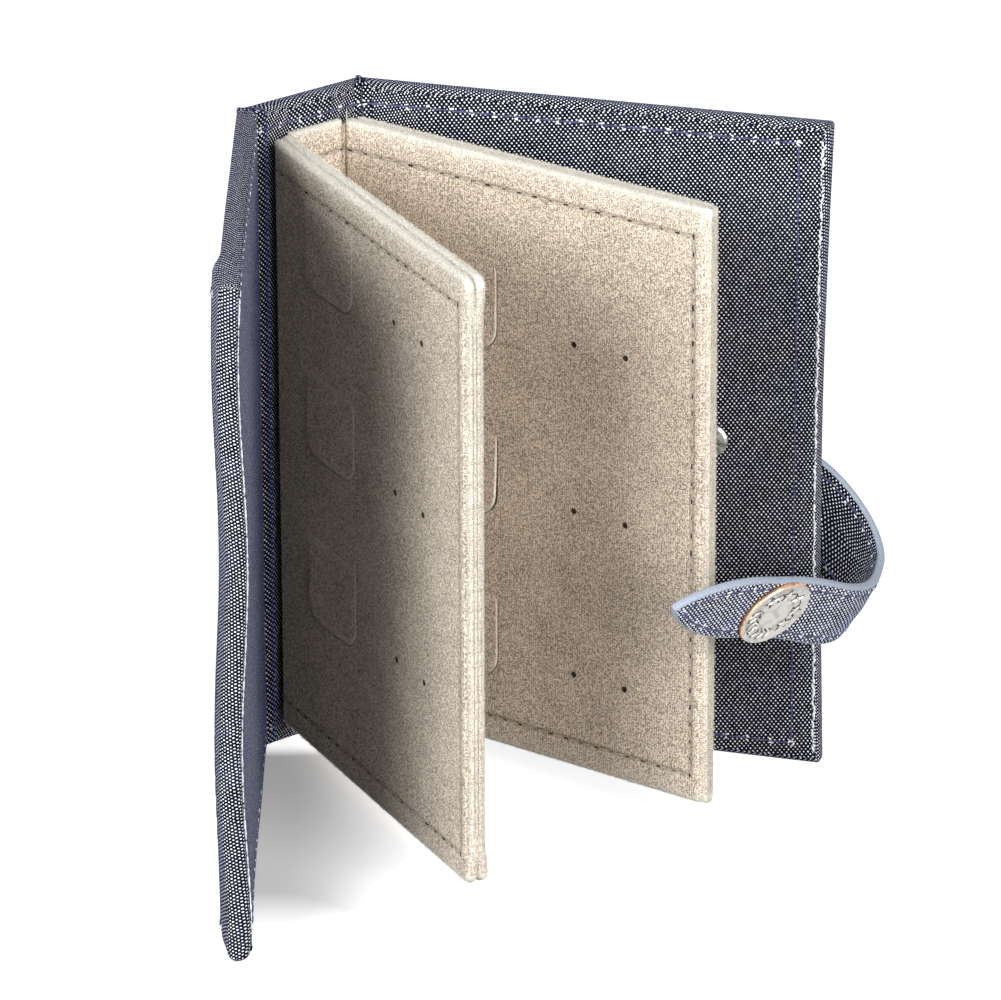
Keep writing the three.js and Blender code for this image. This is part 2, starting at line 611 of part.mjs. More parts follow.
// Snap cap outside the strap's end, with its shank through the strap, and the stud inside
{
  const seat = STRAP_THICKNESS / 2 + SEAT / 2;
  const shank = SNAP_SHANK_DIAMETER / 2;
  const rim = SNAP_CAP_DIAMETER / 2;
  const top = seat + SNAP_CAP_HEIGHT;
  const field = top - SNAP_CAP_DISH;
  const foot = -STRAP_THICKNESS / 2 - SNAP_SHANK_LENGTH;
  const cap = [
    [0, foot], [shank, foot], [shank, seat], [rim - SNAP_CAP_BEVEL, seat], [rim, seat + SNAP_CAP_BEVEL],
    [rim, field - SNAP_CAP_BEVEL], [rim - SNAP_CAP_BEVEL, top - SNAP_CAP_DISH / 2],
    [rim - 2 * SNAP_CAP_BEVEL, top - SNAP_CAP_DISH / 2], [rim - 3 * SNAP_CAP_BEVEL, field],
    [rim * 0.5, field], [rim * 0.45, top], [0, top],
  ];
  const x = STRAP_END_LENGTH - SNAP_FROM_TIP;
  piece(strapTail, 'snap_cap', turned(cap, x), copper);
  const studSeat = -STRAP_THICKNESS / 2 - SEAT / 2;
  const tip = -STRAP_THICKNESS / 2 - SNAP_STUD_HEIGHT;
  const base = SNAP_STUD_BASE_DIAMETER / 2;
  const baseFace = studSeat - SNAP_STUD_BASE_HEIGHT;
  const bulb = SNAP_STUD_DIAMETER / 2;
  const neck = bulb - SNAP_STUD_UNDERCUT;
  const bore = shank + FIT;
  const boreEnd = foot - FIT;
  const stud = [
    [0, tip], [neck, tip], [bulb, tip + SNAP_STUD_BULB], [neck, tip + SNAP_STUD_NECK], [neck, baseFace],
    [base, baseFace], [base, studSeat], [bore, studSeat], [bore, boreEnd], [0, boreEnd],
  ];
  piece(strapTail, 'snap_stud', turned(stud, x), steel);
}

export default book;
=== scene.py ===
"""Looks of an earring book: denim covers, velvet pages, sewing, strap and snap."""
import bisect
import functools
import json
import math
import random

import bmesh
import bpy
from mathutils import Matrix, Vector, noise


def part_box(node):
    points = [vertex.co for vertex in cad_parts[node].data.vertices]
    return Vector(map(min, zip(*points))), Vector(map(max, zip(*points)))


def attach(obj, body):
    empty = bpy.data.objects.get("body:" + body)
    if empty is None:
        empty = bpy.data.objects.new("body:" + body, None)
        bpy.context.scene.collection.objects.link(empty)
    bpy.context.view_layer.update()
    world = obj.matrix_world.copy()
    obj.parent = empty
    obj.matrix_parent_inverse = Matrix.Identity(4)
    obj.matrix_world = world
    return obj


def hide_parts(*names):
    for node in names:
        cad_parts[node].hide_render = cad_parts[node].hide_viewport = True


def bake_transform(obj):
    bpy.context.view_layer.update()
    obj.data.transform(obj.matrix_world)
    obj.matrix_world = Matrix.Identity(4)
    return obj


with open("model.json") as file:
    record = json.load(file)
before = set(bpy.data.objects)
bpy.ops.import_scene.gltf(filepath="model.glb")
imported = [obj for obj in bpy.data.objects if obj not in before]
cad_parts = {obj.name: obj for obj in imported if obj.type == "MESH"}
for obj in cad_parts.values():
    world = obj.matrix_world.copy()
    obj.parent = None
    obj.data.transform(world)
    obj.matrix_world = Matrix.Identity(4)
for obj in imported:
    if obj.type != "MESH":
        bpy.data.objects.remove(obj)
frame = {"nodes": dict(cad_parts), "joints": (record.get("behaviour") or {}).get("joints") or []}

bl_info = {
    "name": "Earring Book Looks",
    "version": (1, 0, 0),
    "blender": (4, 5, 0),
    "location": "3D View > Sidebar > Earring Book",
    "description": "Builds the cloth, velvet, sewing and metal of an earring book",
    "category": "Object",
}

MM = 0.001
UP = Vector((0, 0, 1))
JOINTS = {joint["name"]: joint for joint in frame["joints"]}

# Covers, spine and pages, as packed
COVER_WIDTH = 100 * MM
COVER_HEIGHT = 140 * MM
COVER_THICKNESS = 4 * MM
SPINE_HALF = 15.5 * MM
PAGE_WIDTH = 90 * MM
PAGE_FOOT = 6 * MM
PAGE_HEAD = 134 * MM
PAGE_THICKNESS = 4.6 * MM
PAGE_LAYER = 2.25 * MM
OUTER_SETBACK = 1.2 * MM
ROW_PITCH = 36 * MM
FIRST_ROW = {"left": 42.2 * MM, "right": 26.5 * MM}
STUD_COLUMNS = (57.5 * MM, 70.2 * MM)
STUD_HOLE_RADIUS = 0.65 * MM
HOLE_SLOT = 2
TONGUE_FROM_CREASE = 16.2 * MM
TONGUE_WIDTH = 22 * MM
TONGUE_DROP = 6 * MM
TONGUE_HEIGHT = 17.5 * MM
TONGUE_CORNER = 4.8 * MM
WINDOW_MARGIN = 0.3 * MM
WINDOW_DEPTH = 0.72 * MM
TONGUE_PLAY = 0.12 * MM
TONGUE_PROUD = 0.03 * MM
TONGUE_EDGE = 0.27 * MM
TONGUE_TUCK = 0.6 * MM
# How far in from a tongue's edges the painted highlight reaches
TONGUE_RIM_HIGHLIGHT_REACH = 0.6 * MM
TONGUE_RISE = 0.5 * MM
TONGUE_RISES = (0.25 * MM, 1 * MM, 0.25 * MM)
SEAM_FOOT = PAGE_FOOT + 5.8 * MM
SEAM_HEAD = PAGE_HEAD - 6.1 * MM
SEAM_SIDE = PAGE_WIDTH - 3.5 * MM
COVER_SEAM_FOOT = 4.3 * MM
COVER_SEAM_HEAD = COVER_HEIGHT - COVER_SEAM_FOOT
COVER_SEAM_SIDE = COVER_WIDTH - 6.6 * MM
LINING_END = COVER_WIDTH - 1.6 * MM
LINING_HEM = 1.1 * MM
LINING_PROUD = 0.12 * MM
CLOTH_SPILL = 0.5 * MM
COVER_CORNER = 0.9 * MM
SPINE_CORNER = 1.6 * MM
LINING_CORNER = 1 * MM
PAGE_CORNER = 2.2 * MM
BOARD_START = 6 * MM
BOARD_WALL = 1.3 * MM
BOARD_DEPTHS = (0.9 * MM, 3.1 * MM)
COVER_ROWS = 56
PAGE_ROWS = 44

# Where the two panels of a page shut at their rims
SHUT_REACH = 2.5 * MM
SHUT_SPAN = 1.3 * MM
SHUT_DEPTH = 1.2 * MM
LEFT_OPEN_END = 2 * MM
LEFT_OPEN_FADE = 6 * MM

# Bends of the covers: where they start, and how far they go
FRONT_BEND = 40 * MM
FRONT_BULGE = 80 * MM
FRONT_BULGE_PART = 0.62
FRONT_SWELL_PART = 0.28
FOOT_ROUND = 2.3 * MM
FOOT_RUN = 4 * MM
BACK_DRAWN_SPAN = 5 * MM

# Strap, as packed: how far it runs before, round and after the cover's fore-edge
STRAP_HALF_WIDTH = 8.1 * MM
STRAP_THICKNESS = 1.8 * MM
STRAP_MID = 1.15 * MM
STRAP_TAIL = 9 * MM
STRAP_RIVET = Vector((76 * MM, 70 * MM))
STRAP_RUN = (
    (16.5 * MM, 0),
    (20 * MM, -17),
    (6 * MM, 0),
    (17 * MM, 99.5),
    (3.5 * MM, 0),
    (33.5 * MM, 39.5),
    (44 * MM, 0),
)
STRAP_TIP = 21 * MM
STRAP_TIP_PAINT = 1.5 * MM
STRAP_TIP_SHARPNESS = 1.5
STRAP_SAG = 4.2 * MM
STRAP_SAG_SPAN = (19 * MM, 98 * MM)
STRAP_SAG_EDGE = 3.4
STRAP_LEAN = 0.3
SNAP_FROM_TIP = 28.8 * MM
SNAP_RADIUS = 8.2 * MM
SOCKET_PLACE = (74 * MM, 70 * MM)
SOCKET_BORE = 4.3 * MM
SOCKET_DEPTH = 2.65 * MM

# Snap cap: parts of its radius with heights in millimetres, and the material of each band
SNAP_PROFILE = (
    (0.97, 0), (1, 0.25), (1, 0.8), (0.985, 1.05), (0.96, 1.18), (0.93, 1.15), (0.905, 1.0),
    (0.5, 1.0), (0.47, 1.12), (0.43, 1.17), (0.2, 1.2),
)
SNAP_SLOTS = (1, 1, 1, 0, 0, 0, 0, 0, 0, 0)
STAR_RING = 5.1 * MM
LAUREL_RING = 5.2 * MM

# Meshes and materials
CORNER_STEPS = 5
# How far in from the velvet's rims the painted highlight reaches
RIM_HIGHLIGHT_REACH = 1.9 * MM
GRAIN = 0.22 * MM
GRAIN_STRAY = 0.3 * MM
SHARP_ANGLE = math.radians(50)
FEWEST_FACES = 100
PULL_SIZE = (0.75 * MM, 0.42 * MM, 0.3 * MM)
STRAP_PULL_SIZE = (0.7 * MM, 0.4 * MM, 0.28 * MM)
PIT_SIZE = (1.1 * MM, 0.4 * MM, 0.18 * MM)
FRAY_SIZE = (1.0 * MM, 0.46 * MM, 0.36 * MM)
FRAY_PITCH = 0.85 * MM

# Lights: places and the place that they look at
KEY_PLACE = (-0.98, -0.205, 0.535)
FRONT_PLACE = (-0.13, -1.40, 0.68)
LIGHT_TARGET = (0, -0.04, 0.07)
KEY_SIZE = 0.66
FRONT_SIZE = 1.2
KEY_COLOUR = (0.95, 0.985, 1.0)
FLOOR_HALF = 3.0
FLOOR_GLOW = 0.82


class BookSettings(bpy.types.PropertyGroup):
    """Cloth, sewing and velvet of the book."""

    weave_pitch: bpy.props.FloatProperty(
        name="Weave Pitch", description="Distance between light threads along a row",
        default=0.96 * MM, unit="LENGTH")
    weave_row: bpy.props.FloatProperty(
        name="Weave Row", description="Distance between rows of light threads",
        default=0.58 * MM, unit="LENGTH")
    weave_shift: bpy.props.FloatProperty(
        name="Weave Shift", description="Shift of each row, as a part of the pitch", default=0.43)
    denim_ground: bpy.props.FloatVectorProperty(
        name="Denim Ground", description="Dark threads of the denim", subtype="COLOR", size=4,
        default=(0.003, 0.003, 0.008, 1))
    denim_light: bpy.props.FloatVectorProperty(
        name="Denim Light", description="Light threads of the denim", subtype="COLOR", size=4,
        default=(0.88, 0.89, 0.93, 1))
    velvet: bpy.props.FloatVectorProperty(
        name="Velvet", description="Light side of the velvet's pile", subtype="COLOR", size=4,
        default=(0.93, 0.79, 0.645, 1))
    # Painted highlight: a pale colour laid on the velvet's rims, where light catches the rounded pile
    velvet_rim_highlight: bpy.props.FloatVectorProperty(
        name="Velvet Rim", description="Pale pile along the velvet's rims", subtype="COLOR", size=4,
        default=(0.84, 0.81, 0.74, 1))
    velvet_shade: bpy.props.FloatVectorProperty(
        name="Velvet Shade", description="Dark side of the velvet's pile", subtype="COLOR", size=4,
        default=(0.20, 0.16, 0.118, 1))
    cover_thread: bpy.props.FloatVectorProperty(
        name="Cover Thread", description="Thread of the covers and the strap", subtype="COLOR", size=4,
        default=(0.09, 0.09, 0.21, 1))
    page_thread: bpy.props.FloatVectorProperty(
        name="Page Thread", description="Thread of the pages", subtype="COLOR", size=4,
        default=(0.56, 0.49, 0.40, 1))
    cover_stitch: bpy.props.FloatProperty(
        name="Cover Stitch", description="Length of one stitch of the covers",
        default=4.6 * MM, unit="LENGTH")
    page_stitch: bpy.props.FloatProperty(
        name="Page Stitch", description="Length of one stitch of the pages",
        default=3.8 * MM, unit="LENGTH")
    strap_stitch: bpy.props.FloatProperty(
        name="Strap Stitch", description="Length of one stitch of the strap",
        default=3.6 * MM, unit="LENGTH")
    edge_wave: bpy.props.FloatProperty(
        name="Edge Wave", description="Waver of the front cover's fore-edge",
        default=0.75 * MM, unit="LENGTH")
    pile_density: bpy.props.FloatProperty(
        name="Pile Density", description="Fibres on a square metre of the velvet's rims", default=10.0e6)
    pile_length: bpy.props.FloatProperty(
        name="Pile Length", description="Length of a fibre on the velvet's rims",
        default=0.42 * MM, unit="LENGTH")
    seed: bpy.props.IntProperty(
        name="Seed", description="Fixed seed of everything that varies", default=7)


class StageSettings(bpy.types.PropertyGroup):
    """Camera, lights and sky of the picture."""

    azimuth: bpy.props.FloatProperty(
        name="Azimuth", description="Turn of the camera round the book", subtype="ANGLE",
        default=math.radians(-39.44))
    elevation: bpy.props.FloatProperty(
        name="Elevation", description="Height of the camera over the floor", subtype="ANGLE",
        default=math.radians(22.5))
    roll: bpy.props.FloatProperty(
        name="Roll", description="Roll of the camera", subtype="ANGLE", default=math.radians(-0.17))
    distance: bpy.props.FloatProperty(
        name="Distance", description="Camera to the middle of the book", default=1.54186, unit="LENGTH")
    aim_right: bpy.props.FloatProperty(
        name="Aim Right", description="Camera's shift to the right", default=40.81 * MM, unit="LENGTH")
    aim_up: bpy.props.FloatProperty(
        name="Aim Up", description="Camera's shift upwards", default=-17.9 * MM, unit="LENGTH")
    lens: bpy.props.FloatProperty(
        name="Lens", description="Focal length in millimetres", default=269.74)
    sky: bpy.props.FloatProperty(
        name="Sky", description="Strength of the even light from all sides", default=0.03)
    key_power: bpy.props.FloatProperty(
        name="Key Power", description="Watts of the light at the left", default=14.8)
    front_power: bpy.props.FloatProperty(
        name="Front Power", description="Watts of the light in front", default=30.5)


def held(value, most=1.0):
    """Keeps a value between 0 and a limit."""
    return min(max(value, 0.0), most)


def run_length(size, turn):
    """Gives the length of a straight run, or of an arc of a radius and a turn in degrees."""
    return math.radians(abs(turn)) * size if turn else size


class Placement:
    """Axes of a flat piece in metres: a along it, b up and c through it; shape bends it."""

    def __init__(self, origin, along, through, shape=None):
        self.origin = Vector((origin[0], origin[1], 0))
        self.along = along
        self.through = through
        self.shape = shape
        self.hand = 1 if along.cross(UP).dot(through) > 0 else -1

    def at(self, a, b, c):
        return self.origin + self.along * a + UP * b + self.through * c

    def on(self, a, b, c):
        """Gives a place on the bent piece."""
        return self.at(*self.shape(a, b, c)) if self.shape else self.at(a, b, c)


class StrapPath:
    """Axes of the strap: a along its run from the tail, b across it and c outwards."""

    def __init__(self, cover):
        droop = math.radians(JOINTS["strap_swivel"]["range_deg"][1])
        self.origin = cover.at(STRAP_RIVET.x, STRAP_RIVET.y, 0)
        self.forward = cover.along * math.cos(droop) - UP * math.sin(droop)
        self.across = cover.along * math.sin(droop) + UP * math.cos(droop)
        self.outward = -cover.through
        self.back = cover.along * STRAP_LEAN
        self.hand = 1 if self.forward.cross(self.across).dot(self.outward) > 0 else -1
        self.length = sum(run_length(*run) for run in STRAP_RUN)

    def middle(self, distance):
        """Gives the strap's middle and its heading at a distance along it."""
        x, y, heading = -STRAP_TAIL, STRAP_MID, 0.0
        left = distance
        for index, (size, turn) in enumerate(STRAP_RUN, 1):
            step = left if index == len(STRAP_RUN) else min(left, run_length(size, turn))
            if turn:
                side = math.copysign(1, turn)
                bend = side * step / size
                x += side * size * (math.sin(heading + bend) - math.sin(heading))
                y += side * size * (math.cos(heading + bend) - math.cos(heading))
                heading += bend
            else:
                x += step * math.cos(heading)
                y -= step * math.sin(heading)
            left -= step
            if left <= 0:
                break
        return x, y, heading

    def axes(self, distance):
        """Gives the strap's place, its direction and its outward side at a distance along it."""
        x, y, heading = self.middle(distance)
        place = self.origin + self.forward * x + self.outward * y
        along = self.forward * math.cos(heading) - self.outward * math.sin(heading)
        outward = self.forward * math.sin(heading) + self.outward * math.cos(heading)
        return place, along, outward

    def on(self, a, b, c):
        """Gives a place on the strap, which sags where it curls, its lower edge most."""
        place, _, outward = self.axes(a)
        start, end = STRAP_SAG_SPAN
        part = held((a - start) / (end - start))
        more = 1 + STRAP_SAG_EDGE * max(0.0, -b / STRAP_HALF_WIDTH) * max(0.0, 1 - 2 * part)
        sag = STRAP_SAG * more * math.sin(math.pi * part) ** 2
        pull = UP + self.back * max(0.0, b / STRAP_HALF_WIDTH)
        return place + self.across * b - pull * sag + outward * c


def front_shape(a, b, c):
    """The front cover swells before its wavering fore-edge; its foot is round and runs forward."""
    fade = max(0.0, (a - FRONT_BEND) / (COVER_WIDTH - FRONT_BEND)) ** 2
    down = 1 - b / COVER_HEIGHT
    waver = -0.35 - math.cos(2 * math.pi * (down - 0.13) / 0.57)
    shift = (waver * bpy.context.scene.earring_book.edge_wave + (0.6 - 1.1 * down) * MM) * fade
    middle = COVER_THICKNESS / 2
    depth = c - middle
    if depth > 0:
        depth *= 1 + FRONT_SWELL_PART * fade ** 2
    else:
        past = held((a - FRONT_BULGE) / (COVER_WIDTH - FRONT_BULGE))
        depth *= 1 + FRONT_BULGE_PART * math.sin(math.pi * past) ** 2 - 0.25 * past ** 3
    foot = held(1 - b / FOOT_ROUND, 0.97)
    depth *= (1 + 0.2 * fade * down ** 3) * (1 - fade * (1 - math.sqrt(1 - foot ** 2)))
    return a + FOOT_RUN * fade * down ** 2, b, middle + depth + shift


def back_shape(a, b, c):
    """The back cover's fore-edge is drawn in between its corners."""
    fade = max(0.0, (a - COVER_WIDTH + BACK_DRAWN_SPAN) / BACK_DRAWN_SPAN) ** 2
    height = b / COVER_HEIGHT
    drawn = 1.4 * math.sin(math.pi * height) + 0.6 * (1 - height)
    return a - drawn * MM * fade, b, c


def cover_placement(joint, side, shape):
    """Axes of a cover: along from the crease, up, and inwards from its outer face."""
    fold = math.radians(JOINTS[joint]["range_deg"][1])
    along = Vector((side * math.cos(fold), -math.sin(fold), 0))
    inward = Vector((-side * math.sin(fold), -math.cos(fold), 0))
    return Placement(JOINTS[joint]["pos_m"], along, inward, shape)


def page_placement(name, side):
    """Axes of a page: along from the crease, up, and from its inner to its outer face."""
    along = Vector(JOINTS[f"{name}_outer_tongue_1_lift"]["axis"]) * side
    outward = Vector((-along.y, along.x, 0)) * side
    return Placement(JOINTS[f"{name}_page_hinge"]["pos_m"], along, outward)


FRONT = cover_placement("front_cover_hinge", -1, front_shape)
BACK = cover_placement("back_cover_hinge", 1, back_shape)
SPINE = Placement((0, FRONT.origin.y), Vector((1, 0, 0)), Vector((0, -1, 0)))
PAGES = {"left": page_placement("left", -1), "right": page_placement("right", 1)}
STRIP = Placement((0, PAGES["left"].origin.y), Vector((1, 0, 0)), Vector((0, 1, 0)))
STRAP = StrapPath(BACK)


# Meshes

def quarter_turns(steps):
    """Gives the angles of a quarter turn in equal steps."""
    return [i / steps * math.pi / 2 for i in range(steps + 1)]


def rounded_outline(a0, a1, b0, b1, corner, steps, square=(False, False), head_corner=None):
    """Gives an outline(inset) of a rectangle with round corners, as stations with two sides.

    square says whether the corners at its start and at its end are left square;
    head_corner is the radius of upper corners that differ from the lower ones.
    """
    def outline(inset):
        left, right = a0 + inset, a1 - inset
        radii = [max(radius - inset, 0.02 * MM) for radius in (corner, head_corner or corner)]
        reach = max(radii)

        def rise(x, radius):
            ends = [math.inf if plain else end for plain, end in zip(square, (x - left, right - x))]
            gap = radius - min(ends)
            return radius - math.sqrt(max(radius ** 2 - gap ** 2, 0)) if gap > 0 else 0

        turns = [reach * (1 - math.cos(turn)) for turn in quarter_turns(CORNER_STEPS)]
        span = right - left - 2 * reach
        places = [left + turn for turn in turns]
        places += [left + reach + span * i / steps for i in range(1, steps)]
        places += [right - turn for turn in reversed(turns)]
        return [(x, b0 + inset + rise(x, radii[0]), b1 - inset - rise(x, radii[1])) for x in places]
    return outline


def strap_outline(steps):
    """Gives an outline(inset) of the strap laid flat: round corners at its tail, a pointed tip."""
    tail = 4 * MM
    taper = STRAP.length - STRAP_TIP

    def outline(inset):
        radius = tail - inset
        width = STRAP_HALF_WIDTH - inset
        places = []
        for turn in quarter_turns(CORNER_STEPS):
            side = width - radius * (1 - math.sin(turn))
            places.append((inset + radius * (1 - math.cos(turn)), -side, side))
        for i in range(1, steps):
            places.append((tail + (taper - tail) * i / steps, -width, width))
        tip_steps = 4 * CORNER_STEPS
        for i in range(tip_steps + 1):
            reach, side = strap_tip(min(i / tip_steps, 0.99), inset)
            places.append((reach, -side, side))
        return places
    return outline


def strap_tip(part, inset):
    """Gives a place on the strap's tip, from the start of its taper at 0 to its point at 1."""
    turn = part * math.pi / 2
    reach = STRAP.length - STRAP_TIP + (STRAP_TIP + STRAP_TIP_PAINT - 1.3 * inset) * math.sin(turn)
    return reach, (STRAP_HALF_WIDTH - inset) * math.cos(turn) ** STRAP_TIP_SHARPNESS


def new_object(name, data, *materials):
    """Links a mesh with its materials, a light or a camera as an object."""
    for material in materials:
        data.materials.append(material)
    obj = bpy.data.objects.new(name, data)
    bpy.context.scene.collection.objects.link(obj)
    return obj


def mesh_from(name, points, faces, uvs, slots=None, rim=None, pale=None):
    """Builds a smooth mesh with a Weave map, material slots, a rim mark and an Edge map (pale: how much
    painted highlight a face gets).
    """
    mesh = bpy.data.meshes.new(name)
    mesh.from_pydata(points, [], faces)
    weave = mesh.uv_layers.new(name="Weave")
    flat = [value for face in uvs for place in face for value in place]
    weave.data.foreach_set("uv", flat)
    mesh.polygons.foreach_set("use_smooth", [True] * len(faces))
    if slots:
        mesh.polygons.foreach_set("material_index", slots)
    if rim:
        mesh.attributes.new("rim", "BOOLEAN", "FACE").data.foreach_set("value", rim)
    if pale:
        edge = mesh.uv_layers.new(name="Edge")
        flat = [value for face in pale for part in face for value in (part, 0.0)]
        edge.data.foreach_set("uv", flat)
    mesh.update()
    return mesh


def plate(name, outline, rows, near, far, edge, placement, warp=None, rim_steps=4, slots=(0, 0),
          fringe=(True, True), reach=RIM_HIGHLIGHT_REACH, pale_end=0.0):
    """Builds a plate with rounded edges between the depths near and far of a placement.

    slots are the materials of its near and far face; fringe says whether pile stands at its start
    and at its end; reach is how far in from its rims the painted highlight goes, and pale_end how much
    its end gets.
    """
    def grid(inset):
        return [[(a, lo + (hi - lo) * j / rows) for j in range(rows + 1)]
                for a, lo, hi in outline(inset)]

    flat = grid(edge)
    full = grid(0)
    last = len(flat) - 1
    walk = [(i, 0) for i in range(last + 1)] + [(last, j) for j in range(1, rows + 1)]
    walk += [(i, rows) for i in range(last - 1, -1, -1)] + [(0, j) for j in range(rows - 1, 0, -1)]
    quarter = quarter_turns(rim_steps)
    wall = far - near - 2 * edge
    rings = [(edge * (1 - math.sin(t)), near + edge * (1 - math.cos(t)), edge * t) for t in quarter]
    turned = edge * math.pi / 2 + wall
    for t in reversed(quarter):
        rings.append((edge * (1 - math.sin(t)), far - edge * (1 - math.cos(t)),
                      turned + edge * (math.pi / 2 - t)))

    points = []

    def keep(a, b, c):
        if warp:
            a, b, c = warp(a, b, c)
        points.append(placement.on(a, b, c))
        return len(points) - 1

    caps = [[[keep(a, b, depth) for a, b in row] for row in flat] for depth in (near, far)]
    loops = [[caps[0][i][j] for i, j in walk]]
    for inset, depth, _ in rings[1:-1]:
        ring = grid(inset)
        loops.append([keep(*ring[i][j], depth) for i, j in walk])
    loops.append([caps[1][i][j] for i, j in walk])

    faces, uvs, materials, rim, pale = [], [], [], [], []

    def face(corners, places, slot, flip, paleness, piled):
        order = slice(None, None, -1) if flip else slice(None)
        faces.append(corners[order])
        uvs.append(places[order])
        pale.append(paleness[order])
        materials.append(slot)
        rim.append(piled)

    def fade(distance):
        return max(0.0, 1 - distance / reach) ** 1.5

    def inside(i, j):
        """How much painted highlight a face gets at a grid place, by its distance from the piled rims.
        """
        a, b = flat[i][j]
        gaps = [b - full[i][0][1], full[i][rows][1] - b]
        gaps += [a - full[0][0][0]] * fringe[0]
        return max(fade(min(gaps)), fade(full[last][0][0] - a) * pale_end)

    hand = placement.hand
    for cap, sign in ((0, -hand), (1, hand)):
        for i in range(last):
            for j in range(rows):
                ring = [(i, j), (i + 1, j), (i + 1, j + 1), (i, j + 1)]
                face([caps[cap][p][q] for p, q in ring],
                     [(sign * flat[p][q][0], flat[p][q][1]) for p, q in ring], slots[cap], sign < 0,
                     [inside(p, q) for p, q in ring], False)

    def spread(index, travel):
        i, j = walk[index]
        (a, b), (a1, b1) = flat[i][j], full[i][j]
        return -hand * (a + (a1 - a) / edge * travel), b + (b1 - b) / edge * travel

    count = len(walk)
    for k in range(len(loops) - 1):
        for w in range(count):
            n = (w + 1) % count
            ends = {walk[w][0], walk[n][0]}
            piled = not (ends == {0} and not fringe[0] or ends == {last} and not fringe[1])
            share = (pale_end if ends == {last} else 1.0) * piled
            low, high = (fade(rings[m][0]) * share for m in (k, k + 1))
            face([loops[k][w], loops[k][n], loops[k + 1][n], loops[k + 1][w]],
                 [spread(w, rings[k][2]), spread(n, rings[k][2]),
                  spread(n, rings[k + 1][2]), spread(w, rings[k + 1][2])], 1, hand < 0,
                 [low, low, high, high], piled)
    return mesh_from(name, points, faces, uvs, materials, rim, pale)


def levels(z0, z1, radius, count, steps=4):
    """Gives (height, inset) levels of an upright strip whose ends are rounded."""
    turns = quarter_turns(steps)[:0:-1]
    ends = [(radius * (1 - math.sin(t)), radius * (1 - math.cos(t))) for t in turns]
    span = z1 - z0 - 2 * radius
    return ([(z0 + rise, inset) for rise, inset in ends]
            + [(z0 + radius + span * k / count, 0.0) for k in range(count + 1)]
            + [(z1 - rise, inset) for rise, inset in reversed(ends)])


def ring_faces(count, rings):
    """Gives the faces between rings of points, each after its ring, its place and the next place."""
    for k in range(rings - 1):
        for i in range(count):
            n = (i + 1) % count
            yield k, i, n, [k * count + i, k * count + n, (k + 1) * count + n, (k + 1) * count + i]


def upright(name, rings):
    """Builds an upright strip from rings of (height, closed section in plan)."""
    first = rings[0][1]
    area = sum(p.x * q.y - q.x * p.y for p, q in zip(first, first[1:] + first[:1]))
    if area < 0:
        rings = [(z, section[::-1]) for z, section in rings]
    widest = rings[len(rings) // 2][1]
    count = len(widest)
    lengths = [0]
    for p, q in zip(widest, widest[1:] + widest[:1]):
        lengths.append(lengths[-1] + (q - p).length)
    points = [Vector((p.x, p.y, z)) for z, section in rings for p in section]
    faces, uvs = [], []
    for k, i, _, corners in ring_faces(count, len(rings)):
        x0, x1, z0, z1 = lengths[i], lengths[i + 1], rings[k][0], rings[k + 1][0]
        faces.append(corners)
        uvs.append([(x0, z0), (x1, z0), (x1, z1), (x0, z1)])
    top = (len(rings) - 1) * count
    faces += [list(range(count))[::-1], [top + i for i in range(count)]]
    uvs += [[(p.x, p.y) for p in reversed(rings[0][1])], [(p.x, p.y) for p in rings[-1][1]]]
    return mesh_from(name, points, faces, uvs)


def lathe(name, profile, steps, place, axis, side, slots):
    """Turns a profile of (radius, height) round an axis; slots give each band's material."""
    other = axis.cross(side)
    points, faces, uvs, bands = [], [], [], []
    for radius, height in profile:
        for i in range(steps):
            turn = 2 * math.pi * i / steps
            ray = side * math.cos(turn) + other * math.sin(turn)
            points.append(place + axis * height + ray * radius)
    for k, i, n, corners in ring_faces(steps, len(profile)):
        faces.append(corners)
        uvs.append([(i * MM, k * MM), (n * MM, k * MM), (n * MM, k * MM), (i * MM, k * MM)])
        bands.append(slots[k])
    faces.append([(len(profile) - 1) * steps + i for i in range(steps)])
    uvs.append([(0, 0)] * steps)
    bands.append(slots[-1])
    return mesh_from(name, points, faces, uvs, bands)


def one_slot(mesh):
    """Gives all faces of a mesh its first material."""
    mesh.polygons.foreach_set("material_index", [0] * len(mesh.polygons))


def marks(name, rows):
    """Builds a point mesh from (place, along, out) rows, for shapes set on points."""
    mesh = bpy.data.meshes.new(name)
    mesh.from_pydata([row[0] for row in rows], [], [])
    for index, key in ((1, "along"), (2, "out")):
        values = [value for row in rows for value in row[index]]
        mesh.attributes.new(key, "FLOAT_VECTOR", "POINT").data.foreach_set("vector", values)
    return mesh


def unit_capsule(name, rings=3, segments=6):
    """Builds a few-sided capsule of length 1 along X and radius 0.5."""
    shape = bmesh.new()
    bmesh.ops.create_uvsphere(shape, u_segments=segments, v_segments=2 * rings, radius=0.5,
                              matrix=Matrix.Rotation(math.pi / 2, 4, "Y"))
    for vert in shape.verts:
        vert.co.x = math.copysign(abs(vert.co.x * 2) ** 0.45 / 2, vert.co.x)
    mesh = bpy.data.meshes.new(name)
    shape.to_mesh(mesh)
    shape.free()
    mesh.polygons.foreach_set("use_smooth", [True] * len(mesh.polygons))
    return mesh


def unit_relief(name, outline):
    """Builds a raised ornament of height 1 with sloping sides from a flat outline."""
    count = len(outline)
    points = [Vector((x, y, 0)) for x, y in outline]
    points += [Vector((x * 0.72, y * 0.72, 1)) for x, y in outline]
    faces = [[i, (i + 1) % count, count + (i + 1) % count, count + i] for i in range(count)]
    faces.append([count + i for i in range(count)])
    mesh = bpy.data.meshes.new(name)
    mesh.from_pydata(points, [], faces)
    return mesh


# Node trees

def add_node(tree, kind, links=(), **settings):
    """Adds a node with settings, then links or sets its inputs by name or index."""
    node = tree.nodes.new(kind)
    for key, value in settings.items():
        setattr(node, key, value)
    for key, value in dict(links).items():
        if isinstance(value, bpy.types.NodeSocket):
            tree.links.new(value, node.inputs[key])
        else:
            node.inputs[key].default_value = value
    return node


